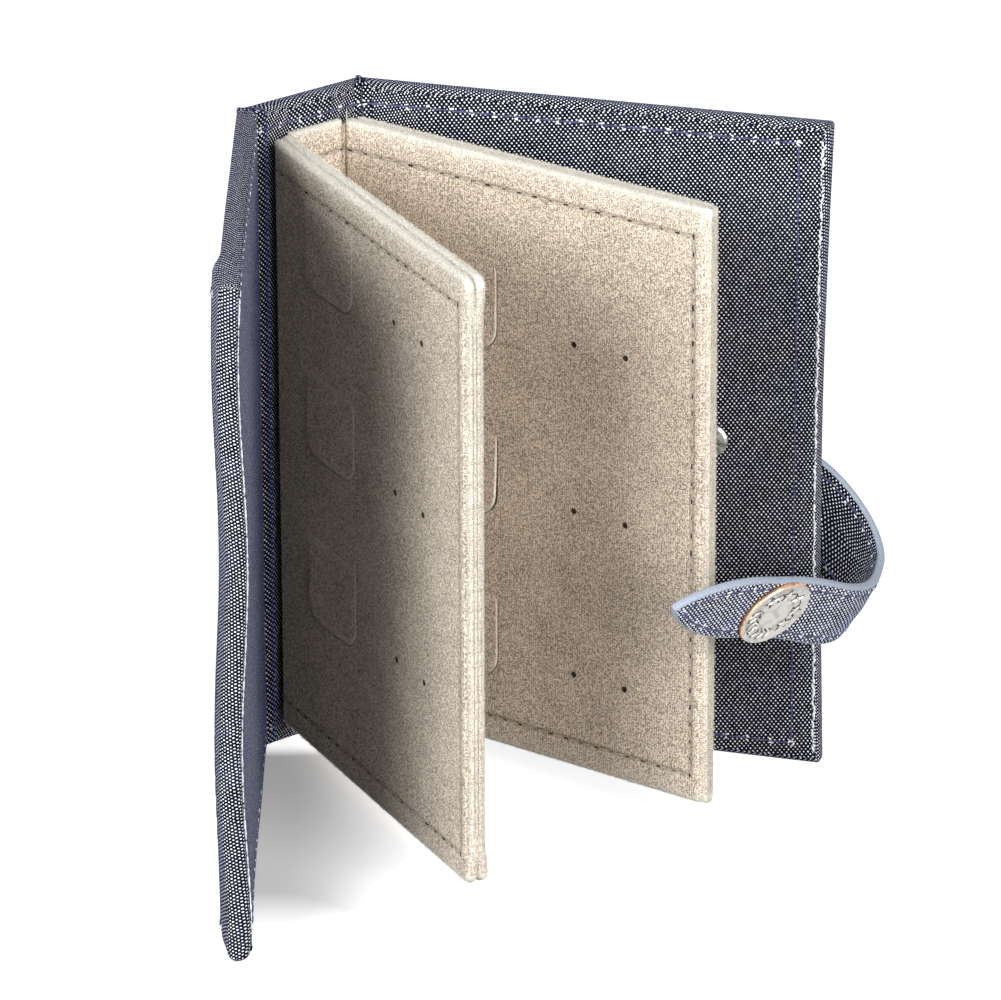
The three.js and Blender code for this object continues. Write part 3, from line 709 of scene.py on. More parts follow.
def new_tree(name, kind, inputs, outputs):
    """Makes a node tree from rows of a socket type and names; gives it with its input sockets."""
    tree = bpy.data.node_groups.new(name, kind)
    for way, rows in (("INPUT", inputs), ("OUTPUT", outputs)):
        for socket, *labels in rows:
            for label in labels:
                tree.interface.new_socket(name=label, in_out=way, socket_type=f"NodeSocket{socket}")
    return tree, add_node(tree, "NodeGroupInput").outputs


def maths(tree, operation, first, second=0.0):
    return add_node(tree, "ShaderNodeMath", {0: first, 1: second}, operation=operation).outputs[0]


def vector_maths(tree, operation, links):
    return add_node(tree, "ShaderNodeVectorMath", links, operation=operation).outputs[0]


def attribute(tree, name, kind):
    node = add_node(tree, "GeometryNodeInputNamedAttribute", {"Name": name}, data_type=kind)
    return node.outputs["Attribute"]


def uneven(tree, low, high, seed):
    """Gives each instance its own number between two values."""
    links = {2: low, 3: high, "Seed": seed}
    return add_node(tree, "FunctionNodeRandomValue", links, data_type="FLOAT").outputs[1]


def realized(tree, instances, material):
    """Ends a node tree: makes its instances real and gives them a material."""
    real = add_node(tree, "GeometryNodeRealizeInstances", {0: instances.outputs[0]})
    painted = add_node(tree, "GeometryNodeSetMaterial", {
        "Geometry": real.outputs[0], "Material": material})
    add_node(tree, "NodeGroupOutput", {0: painted.outputs[0]})
    return tree


def points_tree():
    """Geometry Nodes that set a shape on points along their own axes."""
    tree, given = new_tree("Set On Points", "GeometryNodeTree", (
        ("Geometry", "Geometry"), ("Object", "Shape"), ("Vector", "Size"), ("Float", "Unevenness"),
        ("Int", "Seed"), ("Material", "Material")), (("Geometry", "Geometry"),))
    along, out = (attribute(tree, name, "FLOAT_VECTOR") for name in ("along", "out"))
    axes = add_node(tree, "FunctionNodeAxesToRotation", {0: out, 1: along},
                    primary_axis="Z", secondary_axis="X")
    low, high = (maths(tree, way, 1.0, given["Unevenness"]) for way in ("SUBTRACT", "ADD"))
    scale = uneven(tree, low, high, given["Seed"])
    size = vector_maths(tree, "SCALE", {0: given["Size"], "Scale": scale})
    shape = add_node(tree, "GeometryNodeObjectInfo", {"Object": given["Shape"]})
    points = add_node(tree, "GeometryNodeMeshToPoints", {"Mesh": given["Geometry"]})
    instances = add_node(tree, "GeometryNodeInstanceOnPoints", {
        "Points": points.outputs[0], "Instance": shape.outputs["Geometry"],
        "Rotation": axes.outputs[0], "Scale": size})
    return realized(tree, instances, given["Material"])


def pile_tree():
    """Geometry Nodes that grow short leaning fibres on the rim faces of a velvet panel."""
    tree, given = new_tree("Rim Pile", "GeometryNodeTree", (
        ("Geometry", "Geometry"), ("Float", "Density", "Length", "Thickness", "Lean"),
        ("Int", "Seed"), ("Material", "Material")), (("Geometry", "Geometry"),))
    spots = add_node(tree, "GeometryNodeDistributePointsOnFaces", {
        "Mesh": given["Geometry"], "Selection": attribute(tree, "rim", "BOOLEAN"),
        "Density": given["Density"], "Seed": given["Seed"]})
    fibre = add_node(tree, "GeometryNodeMeshCone", {
        "Vertices": 3, "Radius Top": 0.0, "Radius Bottom": given["Thickness"],
        "Depth": given["Length"]}, fill_type="NONE")
    away = maths(tree, "MULTIPLY", given["Lean"], -1.0)
    low, high = (add_node(tree, "ShaderNodeCombineXYZ", {0: lean, 1: lean, 2: spin}).outputs[0]
                 for lean, spin in ((away, -math.pi), (given["Lean"], math.pi)))
    tilt = add_node(tree, "FunctionNodeRandomValue", {0: low, 1: high, "Seed": given["Seed"]},
                    data_type="FLOAT_VECTOR")
    turn = add_node(tree, "FunctionNodeEulerToRotation", {0: tilt.outputs[0]})
    stand = add_node(tree, "FunctionNodeRotateRotation",
                     {0: spots.outputs["Rotation"], 1: turn.outputs[0]}, rotation_space="LOCAL")
    fibres = add_node(tree, "GeometryNodeInstanceOnPoints", {
        "Points": spots.outputs["Points"], "Instance": fibre.outputs["Mesh"],
        "Rotation": stand.outputs[0], "Scale": uneven(tree, 0.5, 1.25, given["Seed"])})
    return realized(tree, fibres, given["Material"])


def evaluated_mesh(obj):
    """Gives an object's mesh with its modifiers applied."""
    bpy.context.view_layer.update()
    evaluated = obj.evaluated_get(bpy.context.evaluated_depsgraph_get())
    return bpy.data.meshes.new_from_object(evaluated)


def grown(name, mesh, tree, inputs, material):
    """Runs a node tree on a mesh and keeps the result as a plain mesh object."""
    source = new_object(f"{name}_points", mesh)
    modifier = source.modifiers.new("Nodes", "NODES")
    modifier.node_group = tree
    sockets = {item.name: item.identifier for item in tree.interface.items_tree
               if item.in_out == "INPUT"}
    for key, value in {**inputs, "Material": material}.items():
        modifier[sockets[key]] = value
    source.update_tag()
    result = evaluated_mesh(source)
    result.name = name
    bpy.data.objects.remove(source)
    if not result.polygons:
        raise RuntimeError(f"{name} came out empty")
    result.materials.clear()
    return new_object(name, result, material)


def set_on_points(name, rows, shape, size, material, unevenness=0.0, seed=0):
    """Sets a unit shape on (place, along, out) rows and gives one plain mesh object."""
    tree = bpy.data.node_groups.get("Set On Points") or points_tree()
    pattern = new_object(f"{name}_pattern", shape)
    obj = grown(name, marks(f"{name}_points", rows), tree, {
        "Shape": pattern, "Size": size, "Unevenness": unevenness, "Seed": seed}, material)
    bpy.data.objects.remove(pattern)
    return obj


def drilled(tools, placement, place, radius, near, far, slot=0):
    """Adds a drill through a flat piece to the tools; its faces get a material slot."""
    middle = placement.at(*place, (near + far) / 2)
    turn = placement.through.to_track_quat("Z", "Y").to_matrix().to_4x4()
    drill = bmesh.ops.create_cone(
        tools, cap_ends=True, segments=20, radius1=radius, radius2=radius, depth=far - near,
        matrix=Matrix.Translation(middle) @ turn)
    for wall in {wall for vert in drill["verts"] for wall in vert.link_faces}:
        wall.material_index = slot


def carved(obj, tools):
    """Cuts tools out of an object and gives its name and the mesh that is left."""
    mesh = bpy.data.meshes.new("cutters")
    tools.to_mesh(mesh)
    tools.free()
    cutter = new_object("cutters", mesh, *obj.data.materials)
    modifier = obj.modifiers.new("Cut", "BOOLEAN")
    modifier.operation = "DIFFERENCE"
    modifier.solver = "EXACT"
    modifier.object = cutter
    result = evaluated_mesh(obj)
    name = obj.name
    for old in (obj, cutter):
        bpy.data.objects.remove(old)
    if len(result.polygons) < FEWEST_FACES:
        raise RuntimeError(f"{name} lost its faces in the cut")
    result.set_sharp_from_angle(angle=SHARP_ANGLE)
    return name, result


# Materials

def smooth_step(tree, value, start, end):
    return add_node(tree, "ShaderNodeMapRange", {0: value, 1: start, 2: end},
                    interpolation_type="SMOOTHSTEP").outputs[0]


def blend_colours(tree, factor, first, second):
    links = {0: factor, 6: first, 7: second}
    return add_node(tree, "ShaderNodeMix", links, data_type="RGBA").outputs[2]


def blotches(tree, place, scale, detail, roughness=0.5):
    """Gives the outputs of a noise texture."""
    return add_node(tree, "ShaderNodeTexNoise", {
        "Vector": place, "Scale": scale, "Detail": detail, "Roughness": roughness}).outputs


def twill_group():
    """Twill: light threads in slanting rows over a dark ground."""
    tree, given = new_tree("Twill Weave", "ShaderNodeTree", (
        ("Vector", "Map"), ("Float", "Pitch", "Row", "Shift", "Turn", "Width", "Fill", "Wear"),
        ("Color", "Ground", "Light", "Cast")), (("Color", "Color"), ("Float", "Height")))
    calc = functools.partial(maths, tree)
    wander = blotches(tree, given["Map"], 420.0, 1.0)["Color"]
    centred = vector_maths(tree, "SUBTRACT", {0: wander, 1: (0.5, 0.5, 0.5)})
    nudge = vector_maths(tree, "SCALE", {0: centred, "Scale": 0.35 * MM})
    moved = vector_maths(tree, "ADD", {0: given["Map"], 1: nudge})
    turned = add_node(tree, "ShaderNodeVectorRotate", {"Vector": moved, "Angle": given["Turn"]},
                      rotation_type="Z_AXIS")
    place = add_node(tree, "ShaderNodeSeparateXYZ", {0: turned.outputs[0]}).outputs
    row = calc("DIVIDE", place[1], given["Row"])
    index = calc("FLOOR", row)
    shifted = calc("MULTIPLY", index, given["Shift"])
    column = calc("ADD", calc("DIVIDE", place[0], given["Pitch"]), shifted)
    cell = add_node(tree, "ShaderNodeCombineXYZ", {0: calc("FLOOR", column), 1: index})
    chance = add_node(
        tree, "ShaderNodeTexWhiteNoise", {"Vector": cell.outputs[0]}, noise_dimensions="2D")
    wide, tall = (calc("DIVIDE", calc("SUBTRACT", calc("FRACT", part), 0.5), half)
                  for part, half in ((column, given["Width"]), (row, 0.43)))
    distance = calc("SQRT", calc("ADD", calc("MULTIPLY", wide, wide), calc("MULTIPLY", tall, tall)))
    share = calc("ADD", calc("MULTIPLY", chance.outputs["Value"], 0.3), 0.82)
    fill = calc("MULTIPLY", given["Fill"], share)
    dots = smooth_step(tree, calc("DIVIDE", distance, fill), 1.08, 0.72)
    worn = smooth_step(tree, blotches(tree, given["Map"], 160.0, 3.0)["Fac"], 0.42, 0.72)
    wear = calc("MULTIPLY", worn, given["Wear"])
    ground = blend_colours(tree, wear, given["Ground"], given["Cast"])
    add_node(tree, "NodeGroupOutput",
             {"Color": blend_colours(tree, dots, ground, given["Light"]), "Height": dots})
    return tree


def velvet_group():
    """Velvet: fine upright wales and grains of pile, painted shade in a dip along the seam and a painted
    highlight on the rims.
    """
    tree, given = new_tree("Velvet Pile", "ShaderNodeTree", (
        ("Vector", "Map"), ("Float", "Pale", "Wale", "Seam Foot", "Seam Head", "Seam Side"),
        ("Color", "Light", "Shade", "Rim")), (("Color", "Color"), ("Float", "Height")))
    calc = functools.partial(maths, tree)

    def weighted(*parts):
        total = None
        for value, weight in parts:
            part = calc("MULTIPLY", value, weight)
            total = part if total is None else calc("ADD", total, part)
        return total

    place = add_node(tree, "ShaderNodeSeparateXYZ", {0: given["Map"]}).outputs
    sway = blotches(tree, given["Map"], 450.0, 2.0)
    phase = calc("ADD", calc("DIVIDE", place[0], given["Wale"]), sway["Fac"])
    wave = calc("SINE", calc("MULTIPLY", phase, 2 * math.pi))
    wale = calc("ADD", calc("MULTIPLY", wave, 0.5), 0.5)
    strayed = vector_maths(tree, "MULTIPLY_ADD", {
        0: sway["Color"], 1: [GRAIN_STRAY] * 3, 2: given["Map"]})
    cells = vector_maths(tree, "SNAP", {0: strayed, 1: [GRAIN] * 3})
    grain = add_node(tree, "ShaderNodeTexWhiteNoise", {"Vector": cells}, noise_dimensions="3D")
    grains = smooth_step(tree, grain.outputs["Value"], 0.2, 0.8)
    mottle = smooth_step(tree, blotches(tree, given["Map"], 75.0, 4.0, 0.65)["Fac"], 0.33, 0.67)
    fine = weighted((wale, 0.22), (grains, 0.78))
    tone = weighted((fine, 0.88), (mottle, 0.12))
    across = calc("SUBTRACT", calc("ABSOLUTE", place[0]), given["Seam Side"])
    over = calc("SUBTRACT", place[1], given["Seam Head"])
    under = calc("SUBTRACT", given["Seam Foot"], place[1])
    seam = calc("ABSOLUTE", calc("MAXIMUM", across, calc("MAXIMUM", over, under)))
    dip = smooth_step(tree, seam, 0.9 * MM, 0.0)
    pile = blend_colours(tree, tone, given["Shade"], given["Light"])
    # Painted shade: the colour is darkened towards brown along the seam's dip, as if the groove were in
    # shade; the dip also lowers the height for the bump.
    sunk = blend_colours(tree, calc("MULTIPLY", dip, 0.5), pile, (0.14, 0.11, 0.08, 1))
    # Painted highlight: the rims are blended towards the Rim colour by the Edge map's share
    rim_highlight = calc("MULTIPLY", given["Pale"], weighted((fine, 0.35), (1.0, 0.6)))
    height = calc("SUBTRACT", calc("MULTIPLY", fine, 0.5), dip)
    add_node(tree, "NodeGroupOutput", {
        "Color": blend_colours(tree, rim_highlight, sunk, given["Rim"]), "Height": height})
    return tree


def thread_group():
    """Sewing thread: two plies twisted round each other, with painted shade in the grooves between them.
    """
    tree, given = new_tree("Thread Twist", "ShaderNodeTree", (
        ("Vector", "Map"), ("Color", "Color"), ("Float", "Depth")),
        (("Color", "Color"), ("Float", "Height")))
    wave = add_node(tree, "ShaderNodeTexWave", {
        "Vector": given["Map"], "Scale": 420.0, "Distortion": 1.5, "Detail": 2.0,
        "Detail Scale": 1.0}, wave_type="BANDS", bands_direction="DIAGONAL").outputs["Fac"]
    # Painted shade: Depth darkens the thread towards near-black in the bands between the plies
    painted_shade = blend_colours(tree, given["Depth"], given["Color"], (0.01, 0.01, 0.015, 1))
    add_node(tree, "NodeGroupOutput", {
        "Color": blend_colours(tree, wave, painted_shade, given["Color"]), "Height": wave})
    return tree


def metal_group():
    """Aged metal: a clear face with darker, rougher patina."""
    tree, given = new_tree("Aged Metal", "ShaderNodeTree", (
        ("Vector", "Map"), ("Float", "Scale"), ("Color", "Clear", "Patina")),
        (("Color", "Color"), ("Float", "Roughness")))
    aged = smooth_step(tree, blotches(tree, given["Map"], given["Scale"], 5.0)["Fac"], 0.42, 0.66)
    rough = add_node(tree, "ShaderNodeMath", {0: aged, 1: 0.22, 2: 0.34}, operation="MULTIPLY_ADD")
    add_node(tree, "NodeGroupOutput", {
        "Color": blend_colours(tree, aged, given["Clear"], given["Patina"]),
        "Roughness": rough.outputs[0]})
    return tree


SHADER_INPUTS = {
    "roughness": "Roughness",
    "metallic": "Metallic",
    "specular": "Specular IOR Level",
    "sheen": "Sheen Weight",
    "sheen_roughness": "Sheen Roughness",
    "sheen_tint": "Sheen Tint",
}
GROUPS = {
    "Twill Weave": twill_group,
    "Velvet Pile": velvet_group,
    "Thread Twist": thread_group,
    "Aged Metal": metal_group,
}


def surface(name, group, inputs, own_map=True, edge_map=False, bump=0.0, **shader):
    """Makes a material whose colour, roughness and height come from a shared node group."""
    material = bpy.data.materials.get(name)
    if material:
        return material
    material = bpy.data.materials.new(name)
    material.use_nodes = True
    tree = material.node_tree
    principled = tree.nodes["Principled BSDF"]
    for key, value in shader.items():
        principled.inputs[SHADER_INPUTS[key]].default_value = value
    effect = tree.nodes.new("ShaderNodeGroup")
    effect.node_tree = bpy.data.node_groups.get(group) or GROUPS[group]()
    if own_map:
        place = add_node(tree, "ShaderNodeUVMap", uv_map="Weave").outputs[0]
    else:
        place = add_node(tree, "ShaderNodeTexCoord").outputs["Object"]
    tree.links.new(place, effect.inputs["Map"])
    # The Edge map's share sets how much painted rim highlight a face gets
    if edge_map:
        edge = add_node(tree, "ShaderNodeUVMap", uv_map="Edge").outputs[0]
        parts = add_node(tree, "ShaderNodeSeparateXYZ", {0: edge})
        tree.links.new(parts.outputs[0], effect.inputs["Pale"])
    for key, value in inputs.items():
        effect.inputs[key].default_value = value
    tree.links.new(effect.outputs["Color"], principled.inputs["Base Color"])
    if "Roughness" in effect.outputs:
        tree.links.new(effect.outputs["Roughness"], principled.inputs["Roughness"])
    if bump and "Height" in effect.outputs:
        raised = add_node(tree, "ShaderNodeBump", {
            "Height": effect.outputs["Height"], "Distance": bump, "Strength": 0.8})
        tree.links.new(raised.outputs[0], principled.inputs["Normal"])
    return material


def denim(kind="cover"):
    """Denim of the covers, of their linings or of the strap."""
    book = bpy.context.scene.earring_book
    turn, pitch, row, width, fill, ground, cast = {
        "cover": (87, 0.76, 1.0, 0.27, 0.80, book.denim_ground, (0.012, 0.014, 0.04, 1)),
        "lining": (-9.4, 1.0, 1.0, 0.26, 0.77, book.denim_ground, (0.006, 0.007, 0.02, 1)),
        "strap": (30, 1.15, 1.25, 0.40, 0.90, (0.004, 0.008, 0.024, 1), (0.02, 0.035, 0.11, 1)),
    }[kind]
    return surface(f"Denim {kind}", "Twill Weave", {
        "Pitch": book.weave_pitch * pitch, "Row": book.weave_row * row, "Shift": book.weave_shift,
        "Turn": math.radians(turn), "Width": width, "Fill": fill, "Wear": 0.8, "Ground": ground,
        "Light": book.denim_light, "Cast": cast,
    }, bump=0.08 * MM, roughness=0.95, specular=0.08, sheen=0.18, sheen_roughness=0.3,
        sheen_tint=(0.16, 0.28, 1.0, 1))


PAGE_SEAM = {"Seam Foot": SEAM_FOOT, "Seam Head": SEAM_HEAD, "Seam Side": SEAM_SIDE}
NO_SEAM = {"Seam Foot": -1.0, "Seam Head": 1.0, "Seam Side": 1.0}


def velvet(seamed=True):
    """Velvet of the pages; the plain one, for the tongues, has no seam. The rims of both get a painted
    highlight.
    """
    book = bpy.context.scene.earring_book
    # The tongues' rim colour is a softer painted highlight
    seam, rim = (PAGE_SEAM, book.velvet_rim_highlight) if seamed else (NO_SEAM, (0.80, 0.73, 0.63, 1))
    return surface("Velvet" if seamed else "Velvet plain", "Velvet Pile", {
        "Wale": 0.55 * MM, **seam, "Light": book.velvet, "Shade": book.velvet_shade, "Rim": rim,
    }, edge_map=True, bump=0.3 * MM, roughness=1.0, specular=0.05, sheen=0.2, sheen_roughness=0.35,
        sheen_tint=(1.0, 0.97, 0.92, 1))


def plain_pile(name, light, shade, wale=0.5 * MM, **more):
    """Fibres, paint and board: the pile's grain without a seam."""
    return surface(name, "Velvet Pile", {
        "Wale": wale, **NO_SEAM, "Light": light, "Shade": shade, "Rim": light}, **more)


def grey_board():
    return plain_pile("Grey board", (0.42, 0.40, 0.37, 1), (0.30, 0.285, 0.26, 1), 3 * MM,
                      own_map=False, bump=0.05 * MM, roughness=0.95)


def thread(name, colour, depth=0.55):
    return surface(f"Thread {name}", "Thread Twist", {"Color": colour, "Depth": depth},
                   own_map=False, bump=0.1 * MM, roughness=0.75, specular=0.3)


def metal(name, clear, patina, scale=900.0):
    return surface(f"Metal {name}", "Aged Metal", {
        "Scale": scale, "Clear": clear, "Patina": patina}, own_map=False, metallic=1.0)


# Sewing

def seam_rows(placement, path, depth, out, stitch):
    """Gives stitch rows and gap rows along a path of (a, b) corners on a flat piece."""
    stitches, gaps = [], []
    for (a0, b0), (a1, b1) in zip(path, path[1:]):
        count = max(1, round(math.hypot(a1 - a0, b1 - b0) / stitch))
        halves = 2 * count
        places = [placement.on(a0 + (a1 - a0) * i / halves, b0 + (b1 - b0) * i / halves, depth)
                  for i in range(halves + 1)]
        for i in range(count):
            start, middle, end = places[2 * i:2 * i + 3]
            along = (end - start).normalized()
            stitches.append((middle, along, out))
            gaps.append((start, along, out))
        gaps.append((places[-1], along, out))
    return stitches, gaps


def level_rows(placement, half, ends, depth, out, stitch):
    """Gives stitch rows and gap rows of two seams straight across a piece."""
    lines = [seam_rows(placement, [(-half, end), (half, end)], depth, out, stitch) for end in ends]
    return [lines[0][k] + lines[1][k] for k in (0, 1)]


def seam_path(start, side, foot, head):
    """Seam of a cover or a page, from the crease along the head, down the fore-edge and back."""
    return [(start, head), (side, head), (side, foot), (start, foot)]


def pulled_threads(gaps, offset, seed):
    """Gives rows for the light threads that a stitch's end pulls up on both sides."""
    chance = random.Random(seed)
    rows = []
    for place, along, out in gaps:
        side = out.cross(along)
        for sign in (-1, 1):
            shift = along * chance.uniform(-0.3, 0.3) * MM
            shift += side * sign * offset * chance.uniform(0.8, 1.3)
            lean = (along + side * chance.uniform(-0.7, 0.7)).normalized()
            rows.append((place + shift, lean, out))
    return rows


def sew(name, body, stitches, gaps, length, thickness, material, light, seed):
    """Sews one line: stitches, and the light threads pulled up at their ends."""
    capsule = unit_capsule(f"{name}_stitch")
    size = (length, thickness, thickness * 0.8)
    obj = set_on_points(name, stitches, capsule, size, material, 0.06, seed)
    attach(obj, body)
    speck = unit_capsule(f"{name}_speck", 2, 5)
    rows = pulled_threads(gaps, thickness, seed)
    obj = set_on_points(f"{name}_pulls", rows, speck, PULL_SIZE, light, 0.35, seed)
    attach(obj, body)


# Operators

class BookOperator:
    """Shared parts of the operators."""

    bl_options = {"REGISTER"}

    @property
    def book(self):
        return bpy.context.scene.earring_book


def mitre(a, c, span):
    """Slopes the hinge edge of a panel so that it can fold over the spine."""
    return a + c * max(0.0, 1 - a / span)


class BOOK_OT_covers(BookOperator, bpy.types.Operator):
    """Builds the denim covers and spine with their linings"""

    bl_idname = "book.covers"
    bl_label = "Build Covers"

    def execute(self, context):
        cloth, lining = denim("cover"), denim("lining")
        self.cover("front_cover", FRONT, cloth, lining)
        self.cover("back_cover", BACK, cloth, lining)
        self.spine(cloth, lining)
        for name, placement in (("front", FRONT), ("back", BACK)):
            self.crease(name, placement, lining)
        return {"FINISHED"}

    def cover(self, body, placement, cloth, lining):
        def warp(a, b, c):
            ripple = noise.noise(Vector((a, b, placement.hand)) * 45) * 0.12 * MM
            return mitre(a, c, 14 * MM), b, c + ripple

        square = (True, False)
        outer = rounded_outline(
            -CLOTH_SPILL, COVER_WIDTH, 0, COVER_HEIGHT, COVER_CORNER, 40, square)
        inner = rounded_outline(
            0, LINING_END, LINING_HEM, COVER_HEIGHT - LINING_HEM, LINING_CORNER, 40, square)
        self.layers(body, placement, warp, (outer, cloth), (inner, lining))
        stiff = rounded_outline(BOARD_START, COVER_WIDTH - BOARD_WALL,
                                BOARD_WALL, COVER_HEIGHT - BOARD_WALL, 0.3 * MM, 20)
        mesh = plate(f"{body}_stiffener", stiff, 24, *BOARD_DEPTHS, 0.1 * MM, placement)
        one_slot(mesh)
        obj = self.bored(new_object(mesh.name, mesh, grey_board()), body)
        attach(obj, body)
        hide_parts(f"{body}_board")

    def bored(self, obj, body):
        """Makes room for the snap's socket in the front cover."""
        if body != "front_cover":
            return obj
        material = obj.active_material
        tools = bmesh.new()
        drilled(tools, FRONT, SOCKET_PLACE, SOCKET_BORE, -2 * MM, SOCKET_DEPTH)
        name, result = carved(obj, tools)
        result.materials.clear()
        one_slot(result)
        return new_object(name, result, material)

    def layers(self, body, placement, warp, outside, inside):
        """Builds the outer cloth and the lining of a panel."""
        thick = COVER_THICKNESS
        parts = (
            ("denim", "cloth", outside, 0, thick - 0.1 * MM, 1.2 * MM),
            ("inside", "lining", inside, thick - 0.7 * MM, thick + LINING_PROUD, 0.3 * MM),
        )
        for part, layer, (outline, material), near, far, edge in parts:
            mesh = plate(f"{body}_{part}", outline, COVER_ROWS, near, far, edge, placement, warp)
            obj = new_object(mesh.name, mesh, material)
            if part == "denim":
                obj = self.bored(obj, body)
            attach(obj, body)
            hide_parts(f"{body}_{layer}")

    def spine(self, cloth, lining):
        def warp(a, b, c):
            left, right = a + SPINE_HALF, SPINE_HALF - a
            lean = mitre(left, c, 10 * MM) - left - mitre(right, c, 10 * MM) + right
            return a + lean, b, c

        square = (True, True)
        half = SPINE_HALF + CLOTH_SPILL
        outer = rounded_outline(-half, half, 0, COVER_HEIGHT, SPINE_CORNER, 16, square)
        inner = rounded_outline(-SPINE_HALF, SPINE_HALF, LINING_HEM, COVER_HEIGHT - LINING_HEM,
                                LINING_CORNER, 16, square)
        self.layers("spine", SPINE, warp, (outer, cloth), (inner, lining))

    def crease(self, name, placement, material):
        """Fills the fold between the spine and a cover with cloth that meets in a sharp line."""
        side = math.copysign(1, placement.along.x)
        hinge = placement.origin.xy
        ways = ((Vector((-side, 0)), Vector((0, -1))), (placement.along.xy, placement.through.xy))
        depth, lap, slit = COVER_THICKNESS + 0.15 * MM, COVER_THICKNESS + 0.3 * MM, 0.2 * MM
        middle = (ways[0][1] + ways[1][1]).normalized()
        meet = middle * (depth / middle.dot(ways[0][1]))
        line = meet.dot(ways[0][0])
        bead = 0.55 * MM
        spine, cover = ([along * reach + through * depth for reach in (lap, line + slit)]
                        for along, through in ways)
        section = [*spine, meet - middle * 2.2 * MM, *reversed(cover)]
        end, start = (math.atan2(*(along + through).yx) for along, through in ways)
        sweep = (end - start) * side % (2 * math.pi)
        quarter = math.pi / 2
        for i in range(7):
            turn = start + side * (quarter / 2 + (sweep - quarter) * i / 6)
            section.append(middle * bead + Vector((math.cos(turn), math.sin(turn))) * bead)
        half = COVER_THICKNESS / 2
        rings = []
        for z, inset in levels(0, COVER_HEIGHT, 1.2 * MM, 40):
            scale = 1 - inset / half
            reaches = [p.length + max(p.length - half, 0) * (scale - 1) for p in section]
            ring = [hinge + p.normalized() * reach for p, reach in zip(section, reaches)]
            rings.append((z, ring))
        mesh = upright(f"{name}_crease_fold", rings)
        obj = new_object(mesh.name, mesh, material)
        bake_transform(obj)
        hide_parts(f"{name}_crease_cloth")


class BOOK_OT_cover_sewing(BookOperator, bpy.types.Operator):
    """Sews the seams round the covers and over the spine"""

    bl_idname = "book.cover_sewing"
    bl_label = "Sew Covers"

    def execute(self, context):
        book = self.book
        yarn = thread("cover", book.cover_thread)
        light = thread("pulled", book.denim_light, 0.15)
        inside, outside = COVER_THICKNESS + 0.14 * MM, -0.02 * MM
        style = (book.cover_stitch * 0.92, 0.42 * MM, yarn, light, book.seed)
        for body, placement in (("front_cover", FRONT), ("back_cover", BACK)):
            for label, depth, sign, start in (("in", inside, 1, 2.8), ("out", outside, -1, 1)):
                path = seam_path(start * MM, COVER_SEAM_SIDE, COVER_SEAM_FOOT, COVER_SEAM_HEAD)
                out = placement.through * sign
                stitches, gaps = seam_rows(placement, path, depth, out, book.cover_stitch)
                ends = [row for row in gaps if min(row[0].z, COVER_HEIGHT - row[0].z) < 5 * MM]
                sew(f"{body}_seam_{label}", body, stitches, ends, *style)
            self.fray(body, placement, light)
        for label, depth, sign, half in (("in", inside, 1, 12.6), ("out", outside, -1, 14.5)):
            rows = level_rows(SPINE, half * MM, (COVER_SEAM_HEAD, COVER_SEAM_FOOT), depth,
                              SPINE.through * sign, book.cover_stitch)
            sew(f"spine_seam_{label}", "spine", *rows, *style)
        return {"FINISHED"}

    def fray(self, body, placement, light):
        """Light threads along the edge of a cover's lining."""
        chance = random.Random(self.book.seed)
        depth = COVER_THICKNESS + 0.04 * MM
        rows = []
        for i in range(4, int(COVER_HEIGHT / FRAY_PITCH) - 3):
            across = COVER_WIDTH - 1.5 * MM + chance.uniform(-0.3, 0.3) * MM
            lean = (UP + placement.along * chance.uniform(-0.6, 0.6)).normalized()
            rows.append((placement.on(across, i * FRAY_PITCH, depth), lean, placement.through))
        shape = unit_capsule(f"{body}_fray_thread", 2, 5)
        obj = set_on_points(f"{body}_fray", rows, shape, FRAY_SIZE, light, 0.4, self.book.seed)
        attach(obj, body)


def tongue_outline(row, margin, top):
    """Outline of a tongue, or of the window round it; top is how far it reaches past its hinge."""
    foot = row - TONGUE_DROP
    return rounded_outline(
        TONGUE_FROM_CREASE - margin, TONGUE_FROM_CREASE + TONGUE_WIDTH + margin,
        foot - margin, foot + TONGUE_HEIGHT + top, TONGUE_CORNER + margin, 10, head_corner=0.3 * MM)


def page_rows(side):
    return [FIRST_ROW[side] + i * ROW_PITCH for i in range(3)]


